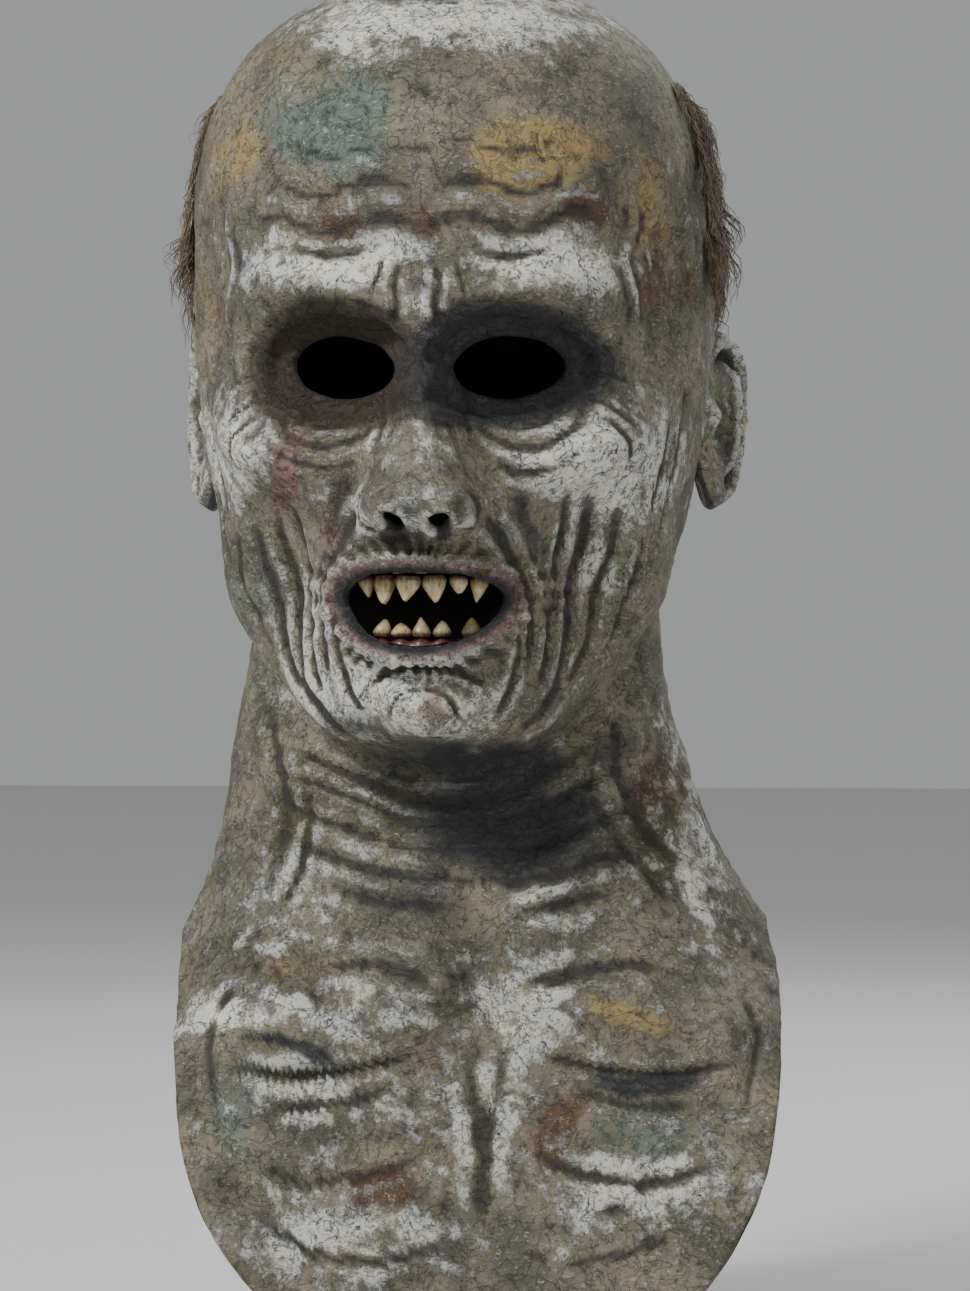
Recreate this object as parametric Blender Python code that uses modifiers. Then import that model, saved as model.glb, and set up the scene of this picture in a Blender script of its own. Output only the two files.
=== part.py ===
# Zombie mask: a pull-over latex head with neck and bib, hollow, with teeth on gums and matted hair.
# Metres, +Z up. The face looks along -Y, and the origin is the inside of the crown, where a head touches it.

import math

import bmesh
import bpy
import numpy as np

# Driving dimensions of the skin
HEAD_HEIGHT = 0.270  # crown to the underside of the chin
HEAD_HALF_WIDTH = 0.090
FACE_DEPTH = 0.102  # from the neck's axis forward to the brow
BACK_DEPTH = 0.112  # from the neck's axis back to the back of the skull
NECK_HALF_WIDTH = 0.084  # at the collar, where the bib begins
NECK_FRONT_DEPTH = 0.054
NECK_BACK_DEPTH = 0.080
BIB_HALF_WIDTH = 0.103
BIB_REACH = 0.104  # from the neck's axis forward to the bib's lower edge
TOTAL_DROP = 0.465  # crown to the bib's lower edge
WALL = 0.0025
BIB_TURN = math.radians(6)  # the bib faces the viewer, and the head is turned a little from it
BIB_SHIFT = 0.008

# Openings in the face
EYE_HOLE_WIDTH = 0.036
EYE_HOLE_HEIGHT = 0.022
MOUTH_WIDTH = 0.054
MOUTH_HEIGHT = 0.026
NOSTRIL_WIDTH = 0.0075
NOSTRIL_DEPTH = 0.010
NOSTRIL_CUT = 0.012  # how far up and down the nostril is cut, clear of the upper lip

# Ears
EAR_HEIGHT = 0.064
EAR_WIDTH = 0.038
EAR_THICKNESS = 0.015
EAR_FLARE = math.radians(16)
EAR_LEAN = math.radians(9)
EAR_SINK = 0.002  # how deep the ear's own centre line sits under the skin

# Gums and teeth
GUM_HEIGHT = 0.009
GUM_DEPTH = 0.007
GUM_HALF_ARC = math.radians(17)
SEAT_GAP = 0.0003  # between a tooth and its gum
GUM_GAP = 0.0006  # between a gum and the bumpy inside of the lips
TOOTH_DEPTH = 0.005
UPPER_TOOTH_LENGTH = 0.0095
LOWER_TOOTH_LENGTH = 0.0065
TOOTH_WIDTH = 0.0072

# Hair
HAIR_THICKNESS = 0.0045
HAIR_GAP = 0.0008
LOCK_LENGTH = 0.020
HAIR_ROW = 0.017  # longest step between a mat's rows, so that its flat faces clear the round scalp

# Fixed places, as shares of the head's height below the crown
EQUATOR = 0.36  # widest level of the skull
EYE_LEVEL = 0.510
MOUTH_LEVEL = 0.802
NOSTRIL_LEVEL = 0.706
EAR_LEVEL = 0.556
COLLAR_LEVEL = 1.067
EYE_TURN = math.radians(19.5)
EAR_TURN = math.radians(99)
NOSTRIL_TURN = math.radians(4.0)
DOME_POWER = 2.6

# Mesh density of the skin
COLUMNS = 48
CROWN_ROWS = 6
FACE_ROWS = 27
BIB_ROWS = 9


def table(columns, rows):
    """Names the columns of a short table of rows."""
    return dict(zip(columns.split(), np.array(rows, float).T))


# Head: down is a share of HEAD_HEIGHT, width of HEAD_HALF_WIDTH, front of FACE_DEPTH, back of BACK_DEPTH.
# Fullness is the section's exponent: 2 is an ellipse, more is squarer, less is more pointed.
HEAD = table(
    "down width front back fullness",
    [
        (0.36, 1.00, 1.00, 1.00, 2.25),
        (0.44, 1.00, 0.99, 1.00, 2.30),
        (0.51, 0.98, 0.97, 0.98, 2.30),
        (0.59, 0.95, 0.95, 0.94, 2.25),
        (0.70, 0.89, 0.94, 0.86, 2.10),
        (0.79, 0.83, 0.94, 0.79, 2.00),
        (0.87, 0.76, 0.93, 0.73, 1.90),
        (0.94, 0.68, 0.90, 0.70, 1.85),
        (0.99, 0.62, 0.86, 0.68, 1.80),
        (1.07, 0.55, 0.79, 0.67, 1.80),
    ],
)

# Neck: down is a share of HEAD_HEIGHT, the rest are shares of the neck's own three sizes.
NECK = table(
    "down width front back fullness",
    [
        (0.00, 0.74, 0.56, 1.00, 2.10),
        (0.56, 0.83, 0.74, 1.05, 2.10),
        (0.70, 0.83, 0.82, 1.00, 2.10),
        (0.87, 0.86, 0.89, 0.95, 2.10),
        (0.99, 0.94, 0.95, 0.96, 2.10),
        (1.07, 1.00, 1.00, 1.00, 2.10),
    ],
)

# Jaw line: where the head ends and the neck begins, and how softly, round from the front in degrees.
JAW = table(
    "turn down softness",
    [
        (0, 0.985, 0.033),
        (25, 0.975, 0.033),
        (45, 0.930, 0.037),
        (65, 0.852, 0.045),
        (80, 0.774, 0.052),
        (95, 0.730, 0.067),
        (120, 0.711, 0.096),
        (150, 0.703, 0.118),
        (180, 0.696, 0.126),
    ],
)

# Hem: across is a share of BIB_HALF_WIDTH, forward of BIB_REACH, down of TOTAL_DROP.
HEM = table(
    "turn across forward down",
    [
        (0, 0.00, 1.00, 1.000),
        (15, 0.46, 0.99, 0.985),
        (30, 0.78, 0.93, 0.930),
        (45, 0.94, 0.79, 0.860),
        (60, 0.99, 0.56, 0.796),
        (75, 1.00, 0.29, 0.742),
        (90, 0.98, 0.00, 0.700),
        (110, 0.89, -0.36, 0.674),
        (135, 0.67, -0.68, 0.690),
        (160, 0.34, -0.86, 0.716),
        (180, 0.00, -0.91, 0.722),
    ],
)

# Swells and hollows of the face: around, down and both reaches are shares of HEAD_HEIGHT, push of FACE_DEPTH.
SWELLS = table(
    "around down reach_around reach_down tilt power push",
    [
        (0.120, 0.422, 0.115, 0.036, -6, 2.4, 0.075),  # brow ridge
        (0.000, 0.432, 0.042, 0.038, 0, 2.0, 0.030),  # between the brows
        (0.128, 0.512, 0.094, 0.068, 6, 3.6, -0.185),  # eye socket
        (0.233, 0.612, 0.096, 0.041, -18, 2.4, 0.095),  # cheekbone
        (0.226, 0.755, 0.076, 0.088, -10, 2.2, -0.120),  # hollow cheek
        (0.000, 0.798, 0.128, 0.088, 0, 2.6, 0.075),  # muzzle
        (0.000, 0.756, 0.086, 0.018, 0, 2.4, 0.028),  # upper lip
        (0.000, 0.850, 0.080, 0.018, 0, 2.4, 0.034),  # lower lip
        (0.000, 0.884, 0.076, 0.018, 0, 2.0, -0.040),  # groove over the chin
        (0.000, 0.937, 0.070, 0.044, 0, 2.4, 0.085),  # chin
        (0.354, 0.415, 0.074, 0.110, 0, 2.2, -0.060),  # temple
        (0.400, 0.778, 0.090, 0.074, 20, 2.2, 0.050),  # jaw corner
        (0.126, 0.267, 0.098, 0.068, 0, 2.0, 0.030),  # forehead
        (0.050, 0.682, 0.024, 0.027, 0, 2.4, 0.068),  # nose wing
    ],
)

# Nose, down its ridge: height is a share of FACE_DEPTH, half_width of HEAD_HEIGHT.
NOSE = table(
    "down height half_width",
    [
        (0.415, 0.00, 0.030),
        (0.455, 0.03, 0.028),
        (0.500, 0.08, 0.030),
        (0.545, 0.14, 0.035),
        (0.595, 0.20, 0.043),
        (0.640, 0.25, 0.054),
        (0.670, 0.26, 0.060),
        (0.692, 0.21, 0.063),
        (0.715, 0.07, 0.060),
        (0.735, 0.00, 0.052),
    ],
)

# Folds of the neck and chest. A fold runs from one end to the other: across is a share of BIB_HALF_WIDTH,
# down of TOTAL_DROP, reach of HEAD_HEIGHT, push of FACE_DEPTH.
CHEST_FOLDS = table(
    "across_1 down_1 across_2 down_2 reach push",
    [
        (0.09, 0.735, 0.80, 0.760, 0.034, 0.055),  # collar bone
        (0.12, 0.790, 0.80, 0.815, 0.030, -0.035),  # hollow under the collar bone
        (0.60, 0.560, 0.10, 0.725, 0.026, 0.050),  # neck tendon
        (0.00, 0.640, 0.00, 0.745, 0.040, -0.060),  # throat hollow
    ],
)

# Teeth: around is a share of HEAD_HEIGHT, wide and long are shares of the tooth sizes, lean in degrees.
UPPER_TEETH = table(
    "around wide long lean",
    [
        (-0.0800, 0.82, 0.74, -6),
        (-0.0515, 0.94, 1.00, -2),
        (-0.0185, 1.22, 0.90, 3),
        (0.0160, 1.10, 0.95, -2),
        (0.0465, 0.85, 0.62, 5),
        (0.0745, 0.90, 0.92, 7),
    ],
)
LOWER_TEETH = table(
    "around wide long lean",
    [
        (-0.0630, 0.86, 0.90, 4),
        (-0.0345, 0.92, 0.70, -3),
        (-0.0045, 0.86, 1.00, 2),
        (0.0235, 0.80, 0.80, -4),
        (0.0655, 0.90, 0.95, -5),
    ],
)

# Hair mats round the sides and back: start and end in degrees, top and bottom as shares of HEAD_HEIGHT,
# and how many locks.
HAIR_MATS = {
    "hair_left": (74, 121, 0.130, 0.400, 8),
    "hair_back": (123, 237, 0.190, 0.680, 11),
    "hair_right": (239, 286, 0.130, 0.400, 8),
}

# Colours: red, green, blue, roughness
LATEX = (0.46, 0.44, 0.38, 0.7)
TOOTH_IVORY = (0.62, 0.52, 0.33, 0.35)
GUM_FLESH = (0.12, 0.05, 0.04, 0.45)
DUSTY_HAIR = (0.33, 0.27, 0.20, 0.9)


def ease(low, high, value):
    """0 below low, 1 above high, smooth between."""
    share = np.clip((value - low) / (high - low), 0, 1)
    return share * share * (3 - 2 * share)


def smooth_through(xs, ys, x):
    """A curve through the points with no overshoot: each point's slope is the harmonic mean of its neighbours'."""
    step = np.diff(xs)
    rise = np.diff(ys) / step
    slope = np.zeros_like(ys)
    slope[0], slope[-1] = rise[0], rise[-1]
    turning = rise[:-1] * rise[1:]
    same_way = turning > 0
    slope[1:-1][same_way] = 2 * turning[same_way] / (rise[:-1] + rise[1:])[same_way]
    x = np.clip(x, xs[0], xs[-1])
    at = np.clip(np.searchsorted(xs, x) - 1, 0, len(step) - 1)
    t = (x - xs[at]) / step[at]
    start = ys[at] * (1 + 2 * t) * (1 - t) ** 2 + step[at] * slope[at] * t * (1 - t) ** 2
    end = ys[at + 1] * t * t * (3 - 2 * t) + step[at] * slope[at + 1] * t * t * (t - 1)
    return start + end


def read(rows, column, key, x):
    return smooth_through(rows[key], rows[column], x)


def from_front(turn):
    """The turn from the front to either side, from 0 to pi."""
    return np.abs(np.arctan2(np.sin(turn), np.cos(turn)))


def ring_radius(turn, width, front, back, fullness):
    """Distance from the axis to a rounded section that is deeper at the back than at the front."""
    depth = np.where(np.cos(turn) > 0, front, back)
    sideways = np.abs(np.sin(turn)) / width
    lengthways = np.abs(np.cos(turn)) / depth
    return (sideways**fullness + lengthways**fullness) ** (-1 / fullness)


def section_radius(rows, turn, down, width, front, back):
    return ring_radius(
        turn,
        width * read(rows, "width", "down", down),
        front * read(rows, "front", "down", down),
        back * read(rows, "back", "down", down),
        read(rows, "fullness", "down", down),
    )


def relief(turn, down):
    """How far the face stands out of the plain head at a place."""
    around = from_front(turn) * FACE_DEPTH / HEAD_HEIGHT
    push = np.zeros_like(around * down)
    for swell in zip(*SWELLS.values()):
        centre_around, centre_down, reach_around, reach_down, tilt, power, height = swell
        cos, sin = math.cos(math.radians(tilt)), math.sin(math.radians(tilt))
        beside, below = around - centre_around, down - centre_down
        u = (beside * cos + below * sin) / reach_around
        v = (below * cos - beside * sin) / reach_down
        push = push + height * np.exp(-((u * u + v * v) ** (power / 2)))
    ridge = (around / read(NOSE, "half_width", "down", down)) ** 2.6
    push = push + read(NOSE, "height", "down", down) * np.exp(-ridge)
    return push * FACE_DEPTH * ease(0.02, 0.22, down)


def distance_to_segment(x, z, start, end):
    along = ((x - start[0]) * (end[0] - start[0]) + (z - start[1]) * (end[1] - start[1])) / (
        (end[0] - start[0]) ** 2 + (end[1] - start[1]) ** 2
    )
    along = np.clip(along, 0, 1)
    return np.hypot(x - start[0] - along * (end[0] - start[0]), z - start[1] - along * (end[1] - start[1]))


def fold_relief(points):
    """How far the neck and chest stand forward at these points of the plain skin."""
    push = np.zeros(points.shape[:-1])
    for across_1, down_1, across_2, down_2, reach, height in zip(*CHEST_FOLDS.values()):
        away = distance_to_segment(
            np.abs(points[..., 0]),
            points[..., 2],
            (across_1 * BIB_HALF_WIDTH, -down_1 * TOTAL_DROP),
            (across_2 * BIB_HALF_WIDTH, -down_2 * TOTAL_DROP),
        )
        push = push + height * np.exp(-((away / (reach * HEAD_HEIGHT)) ** 2))
    in_front = ease(0.1, 0.6, -points[..., 1] / np.hypot(points[..., 0], points[..., 1]))
    return push * FACE_DEPTH * in_front


def plain_points(turn, down):
    """The skin from the crown to the collar, before the folds of the neck."""
    head = section_radius(HEAD, turn, down, HEAD_HALF_WIDTH, FACE_DEPTH, BACK_DEPTH)
    above = np.clip(1 - down / EQUATOR, 0, 1)
    head = head * (1 - above**DOME_POWER) ** (1 / DOME_POWER) + relief(turn, down)
    neck = section_radius(NECK, turn, down, NECK_HALF_WIDTH, NECK_FRONT_DEPTH, NECK_BACK_DEPTH)
    degrees = np.degrees(from_front(turn))
    line = read(JAW, "down", "turn", degrees)
    softness = read(JAW, "softness", "turn", degrees)
    radius = head + (neck - head) * ease(line - softness, line + softness, down)
    height = WALL - down * HEAD_HEIGHT
    return np.stack([radius * np.sin(turn), -radius * np.cos(turn), height + 0 * radius], -1), line


def settled(points):
    """Turns and shifts the chest against the head, which stays straight."""
    share = ease(0.52 * TOTAL_DROP, 0.74 * TOTAL_DROP, -points[..., 2])
    cos, sin = np.cos(BIB_TURN * share), np.sin(BIB_TURN * share)
    x, y = points[..., 0], points[..., 1]
    return np.stack([x * cos - y * sin + BIB_SHIFT * share, x * sin + y * cos, points[..., 2]], -1)


def pushed_forward(points, share):
    points = points.copy()
    points[..., 1] -= fold_relief(points) * share
    return points


def skin_points(turn, down):
    """Outer skin from the crown (down 0) to the collar, with turn in radians round from the front."""
    turn, down = np.broadcast_arrays(np.asarray(turn, float), np.asarray(down, float))
    plain, line = plain_points(turn, down)
    return settled(pushed_forward(plain, ease(line, line + 0.05, down)))


def bib_points(turn, share):
    """Outer skin from the collar (share 0) to the hem (share 1): a curve with one control point."""
    collar, _ = plain_points(turn, np.full_like(turn, COLLAR_LEVEL))
    degrees = np.degrees(from_front(turn))
    across = read(HEM, "across", "turn", degrees) * BIB_HALF_WIDTH * np.sign(turn)
    forward = read(HEM, "forward", "turn", degrees) * BIB_REACH
    drop = read(HEM, "down", "turn", degrees) * TOTAL_DROP
    hem = np.stack([across, -forward, WALL - drop], -1)
    control = collar + (hem - collar) * np.array([0.32, 0.32, 0.5])
    share = share[..., None]
    plain = (1 - share) ** 2 * collar + 2 * share * (1 - share) * control + share**2 * hem
    return settled(pushed_forward(plain, 1.0))


def skin_normals(turn, down):
    step = 0.004
    across = skin_points(turn + step, down) - skin_points(turn - step, down)
    along = skin_points(turn, down + step) - skin_points(turn, down - step)
    normal = np.cross(along, across)
    return normal / np.linalg.norm(normal, axis=-1, keepdims=True)


def offset_points(turn, down, out):
    """Points that lie out from the outer skin, or inside it where out is negative."""
    turn, down = np.broadcast_arrays(np.asarray(turn, float), np.asarray(down, float))
    return skin_points(turn, down) + skin_normals(turn, down) * np.asarray(out)[..., None]


def material(name, colour):
    made = bpy.data.materials.new(name)
    made.use_nodes = True
    shader = made.node_tree.nodes["Principled BSDF"]
    shader.inputs["Base Color"].default_value = (*colour[:3], 1)
    shader.inputs["Roughness"].default_value = colour[3]
    return made


def mesh_object(name, points, faces, home, made_of=None):
    mesh = bpy.data.meshes.new(name)
    mesh.from_pydata(np.asarray(points).reshape(-1, 3).tolist(), [], faces)
    return finished(name, mesh, home, made_of)


def finished(name, mesh, home, made_of=None):
    mesh.shade_smooth()
    mesh.set_sharp_from_angle(angle=math.radians(50))
    made = bpy.data.objects.new(name, mesh)
    home.objects.link(made)
    if made_of:
        mesh.materials.append(made_of)
    return made


def as_helper(helper):
    helper.hide_render = True
    helper.display_type = "WIRE"
    return helper


def ring_faces(rows, columns):
    """Quads between rings of points, each ring closed round its axis."""
    return [
        (r * columns + c, (r + 1) * columns + c, (r + 1) * columns + (c + 1) % columns, r * columns + (c + 1) % columns)
        for r in range(rows - 1)
        for c in range(columns)
    ]


def skin_turns():
    """Columns close together over the face and wide apart at the back, the same on both sides."""
    t = np.linspace(-1, 1, COLUMNS + 1)[:-1]
    return np.sign(t) * math.pi * (0.42 * np.abs(t) + 0.58 * t * t)


def skin_levels():
    crown = EQUATOR * (1 - np.cos(np.linspace(0, math.pi / 2, CROWN_ROWS + 1)[1:]))
    face = np.linspace(EQUATOR, COLLAR_LEVEL, FACE_ROWS + 1)[1:]
    return np.concatenate([crown, face])


def make_skin(home, helpers, made_of):
    """The open outer surface, given its wall, then its openings and its ears."""
    turns, levels = skin_turns(), skin_levels()
    upper = skin_points(turns[None, :], levels[:, None])
    shares = np.linspace(0, 1, BIB_ROWS + 1)[1:]
    lower = bib_points(*np.broadcast_arrays(turns[None, :], shares[:, None]))
    rings = np.concatenate([upper, lower]).reshape(-1, 3)
    faces = ring_faces(len(levels) + BIB_ROWS, COLUMNS)
    crown = len(rings)
    faces += [(c, (c + 1) % COLUMNS, crown) for c in range(COLUMNS)]
    skin = mesh_object("mask_skin", np.vstack([rings, [(0, 0, WALL)]]), faces, home, made_of)
    wall = skin.modifiers.new("wall", "SOLIDIFY")
    wall.thickness = WALL
    wall.offset = -1
    for ear in make_ears(helpers):
        join = skin.modifiers.new(f"join {ear.name}", "BOOLEAN")
        join.operation = "UNION"
        join.object = ear
    for cutter in make_face_cutters(helpers):
        cut_away(skin, cutter)


def head_hollow(helpers):
    """The space inside the head, closed at the collar, which trims the ears' inner ends."""
    turns, levels = skin_turns(), skin_levels()
    inside = offset_points(turns[None, :], levels[:, None], np.full((len(levels), COLUMNS), -0.6 * WALL))
    faces = ring_faces(len(levels), COLUMNS)
    crown, base = len(levels) * COLUMNS, len(levels) * COLUMNS + 1
    faces += [(c, (c + 1) % COLUMNS, crown) for c in range(COLUMNS)]
    last = (len(levels) - 1) * COLUMNS
    faces += [(last + (c + 1) % COLUMNS, last + c, base) for c in range(COLUMNS)]
    floor = WALL - COLLAR_LEVEL * HEAD_HEIGHT
    points = np.vstack([inside.reshape(-1, 3), [(0, 0, 0.4 * WALL), (0, 0, floor)]])
    return as_helper(mesh_object("head_hollow", points, faces, helpers))


def ball(name, size, home, segments=16, rings=10):
    shape = bmesh.new()
    bmesh.ops.create_uvsphere(shape, u_segments=segments, v_segments=rings, radius=0.5)
    bmesh.ops.scale(shape, vec=size, verts=shape.verts)
    mesh = bpy.data.meshes.new(name)
    shape.to_mesh(mesh)
    shape.free()
    return finished(name, mesh, home)


def cut_away(target, cutter):
    cut = target.modifiers.new(f"cut {cutter.name}", "BOOLEAN")
    cut.operation = "DIFFERENCE"
    cut.object = cutter


def make_ears(helpers):
    """Each ear is a flattened ball, dished in front, rooted in the skin and trimmed to the hollow."""
    hollow = head_hollow(helpers)
    ears = []
    for name, side in (("left", 1), ("right", -1)):
        root = skin_points(side * EAR_TURN, EAR_LEVEL)
        inward = skin_normals(side * EAR_TURN, EAR_LEVEL) * -EAR_SINK
        place = root + inward
        ear = as_helper(ball(f"ear_{name}", (EAR_THICKNESS, EAR_WIDTH, EAR_HEIGHT), helpers))
        dish_size = (EAR_THICKNESS, 0.62 * EAR_WIDTH, 0.66 * EAR_HEIGHT)
        dish = as_helper(ball(f"ear_dish_{name}", dish_size, helpers, 12, 8))
        for shape, out, back in ((ear, 0.30 * EAR_THICKNESS, 0.18 * EAR_WIDTH), (dish, 0.86 * EAR_THICKNESS, 0.06 * EAR_WIDTH)):
            shape.location = (place[0] + side * out, place[1] + back, place[2])
            shape.rotation_euler = (-EAR_LEAN, 0, -side * EAR_FLARE)
        cut_away(ear, dish)
        cut_away(ear, hollow)
        ears.append(ear)
    return ears


def oval_bar(name, width, height, length, helpers, segments=20):
    """A straight oval bar along Z, for cutting an opening."""
    shape = bmesh.new()
    bmesh.ops.create_cone(shape, cap_ends=True, segments=segments, radius1=0.5, radius2=0.5, depth=1)
    bmesh.ops.scale(shape, vec=(width, height, length), verts=shape.verts)
    mesh = bpy.data.meshes.new(name)
    shape.to_mesh(mesh)
    shape.free()
    return as_helper(finished(name, mesh, helpers))


def make_face_cutters(helpers):
    cutters = []
    reach = 0.6 * FACE_DEPTH
    for name, side in (("left", 1), ("right", -1)):
        eye = oval_bar(f"eye_hole_{name}", EYE_HOLE_WIDTH, EYE_HOLE_HEIGHT, reach, helpers)
        eye.location = skin_points(side * EYE_TURN, EYE_LEVEL)
        eye.rotation_euler = (math.pi / 2, math.radians(-5 * side), 0)
        nostril = oval_bar(f"nostril_{name}", NOSTRIL_WIDTH, NOSTRIL_DEPTH, NOSTRIL_CUT, helpers, 12)
        nostril.location = skin_points(side * NOSTRIL_TURN, NOSTRIL_LEVEL)
        nostril.rotation_euler = (math.radians(-8), 0, math.radians(12 * side))
        cutters += [eye, nostril]
    mouth = oval_bar("mouth_opening", MOUTH_WIDTH, MOUTH_HEIGHT, reach, helpers, 28)
    mouth.location = skin_points(0, MOUTH_LEVEL)
    mouth.rotation_euler = (math.pi / 2, 0, 0)
    return cutters + [mouth]


def gum_levels():
    """Top and bottom of each gum: they reach a little past the edges of the mouth opening."""
    height = GUM_HEIGHT / HEAD_HEIGHT
    half_mouth = 0.5 * MOUTH_HEIGHT / HEAD_HEIGHT
    shown = 0.28 * height
    upper_edge = MOUTH_LEVEL - half_mouth + shown
    lower_edge = MOUTH_LEVEL + half_mouth - shown
    return {"upper": (upper_edge - height, upper_edge), "lower": (lower_edge, lower_edge + height)}


def gum_face(turns, jaw):
    """Distance from the axis to a gum's outer face: just inside the skin's innermost ring over the gum's height."""
    top, bottom = gum_levels()[jaw]
    levels = skin_levels()
    row = levels[-1] - levels[-2]
    levels = levels[(levels > top - row) & (levels < bottom + row)]
    columns = skin_turns()
    columns = columns[np.cos(columns) > 0.5]
    rings = []
    for level in levels:
        inside = offset_points(columns, level, np.full_like(columns, -WALL))
        around = np.arctan2(inside[:, 0], -inside[:, 1])
        rings.append(np.interp(turns, around, np.hypot(inside[:, 0], inside[:, 1])))
    return np.min(rings, axis=0) - GUM_GAP


def make_gum(jaw, home, made_of, spans=14):
    """A bar bent along the inside of the skin, with four corners for each step round."""
    top, bottom = gum_levels()[jaw]
    turns = np.linspace(-GUM_HALF_ARC, GUM_HALF_ARC, spans + 1)
    face = gum_face(turns, jaw)
    corners = []
    for level, inset in ((top, 0), (bottom, 0), (bottom, GUM_DEPTH), (top, GUM_DEPTH)):
        radius = face - inset
        height = np.full_like(turns, WALL - level * HEAD_HEIGHT)
        corners.append(np.stack([radius * np.sin(turns), -radius * np.cos(turns), height], -1))
    points = np.stack(corners, axis=1).reshape(-1, 3)
    faces = [
        (4 * s + a, 4 * s + (a + 1) % 4, 4 * (s + 1) + (a + 1) % 4, 4 * (s + 1) + a)
        for s in range(spans)
        for a in range(4)
    ]
    faces += [(3, 2, 1, 0), (4 * spans, 4 * spans + 1, 4 * spans + 2, 4 * spans + 3)]
    return mesh_object(f"{jaw}_gum", points, faces, home, made_of)


def make_tooth(name, size, place, lean, turn, points_down, home, made_of):
    """A flattened cone that stands on its wide end."""
    shape = bmesh.new()
    bmesh.ops.create_cone(shape, cap_ends=True, segments=10, radius1=0.5, radius2=0.17, depth=1)
    bmesh.ops.scale(shape, vec=size, verts=shape.verts)
    mesh = bpy.data.meshes.new(name)
    shape.to_mesh(mesh)
    shape.free()
    tooth = finished(name, mesh, home, made_of)
    tooth.location = place
    tooth.rotation_euler = (math.pi if points_down else 0, lean, turn)
    return tooth


def make_teeth(jaw, rows, length, points_down, home, made_of):
    """Stands each tooth on its gum's edge, in the middle of the gum's depth."""
    top, bottom = gum_levels()[jaw]
    edge = WALL - (bottom if points_down else top) * HEAD_HEIGHT
    for number, (around, wide, long, lean) in enumerate(zip(*rows.values()), start=1):
        turn = around * HEAD_HEIGHT / FACE_DEPTH
        lean = math.radians(lean)
        size = (TOOTH_WIDTH * wide, TOOTH_DEPTH, length * long)
        radius = gum_face(np.array([turn]), jaw)[0] - 0.5 * GUM_DEPTH
        lift = SEAT_GAP + 0.5 * size[2] * math.cos(lean) + 0.5 * size[0] * abs(math.sin(lean))
        height = edge - lift if points_down else edge + lift
        place = (radius * math.sin(turn), -radius * math.cos(turn), height)
        make_tooth(f"tooth_{jaw}_{number}", size, place, lean, turn, points_down, home, made_of)


def make_hair_mat(name, home, made_of):
    """A matted patch on the scalp: locks are its ridges, and its top edge and lock tips are uneven."""
    start, end, top, bottom, locks = HAIR_MATS[name]
    columns = 2 * locks + 1
    turns = np.radians(np.linspace(start, end, columns))
    crest = np.arange(columns) % 2
    uneven = 0.5 + 0.5 * np.sin(np.arange(columns) * 2.4)
    lock = LOCK_LENGTH / HEAD_HEIGHT
    body_end = bottom - lock
    body_rows = 1 + math.ceil((body_end - top) * HEAD_HEIGHT / HAIR_ROW)
    body_top = top + 0.6 * lock * np.roll(uneven, 2)
    body = body_top + (body_end - body_top) * np.linspace(0, 1, body_rows)[:, None]
    tip = bottom - lock * (0.35 * uneven + 0.45 * (1 - crest))
    loose = body_end + (tip - body_end) * np.linspace(0, 1, 4)[1:, None]
    levels = np.concatenate([body, loose])
    rows = len(levels)
    down_taper = 1 - 0.8 * np.linspace(-1, 1, rows)[:, None] ** 4
    side_taper = 1 - 0.8 * np.linspace(-1, 1, columns) ** 6
    thickness = HAIR_THICKNESS * (0.45 + 0.55 * crest) * down_taper * side_taper
    across = np.broadcast_to(turns, levels.shape)
    inner = offset_points(across, levels, np.full(levels.shape, HAIR_GAP))
    outer = offset_points(across, levels, HAIR_GAP + thickness)
    points = np.concatenate([inner.reshape(-1, 3), outer.reshape(-1, 3)])
    shift = rows * columns

    def quad(a, b, c, d, outside):
        return (a + shift, b + shift, c + shift, d + shift) if outside else (d, c, b, a)

    faces = []
    for r in range(rows - 1):
        for c in range(columns - 1):
            corner = r * columns + c
            for outside in (True, False):
                faces.append(quad(corner, corner + columns, corner + columns + 1, corner + 1, outside))
    edge = list(range(columns))
    edge += [r * columns + columns - 1 for r in range(1, rows)]
    edge += [(rows - 1) * columns + c for c in range(columns - 2, -1, -1)]
    edge += [r * columns for r in range(rows - 2, 0, -1)]
    for here, after in zip(edge, edge[1:] + edge[:1]):
        faces.append((here, here + shift, after + shift, after))
    return mesh_object(name, points, faces, home, made_of)


def collection(name):
    made = bpy.data.collections.new(name)
    bpy.context.scene.collection.children.link(made)
    return made


def build():
    for old in list(bpy.data.objects):
        bpy.data.objects.remove(old)
    mask, helpers = collection("zombie mask"), collection("cutters")
    latex = material("latex", LATEX)
    ivory = material("tooth ivory", TOOTH_IVORY)
    flesh = material("gum flesh", GUM_FLESH)
    hair = material("dusty hair", DUSTY_HAIR)
    make_skin(mask, helpers, latex)
    for jaw in ("upper", "lower"):
        make_gum(jaw, mask, flesh)
    make_teeth("upper", UPPER_TEETH, UPPER_TOOTH_LENGTH, True, mask, ivory)
    make_teeth("lower", LOWER_TEETH, LOWER_TOOTH_LENGTH, False, mask, ivory)
    for name in HAIR_MATS:
        make_hair_mat(name, mask, hair)


build()
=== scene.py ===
# Zombie mask: painted latex head, neck and bib, ears, gums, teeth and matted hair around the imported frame.
# Metres, +Z up, the face looks along -Y, the origin is the inside of the crown.
import math

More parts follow.
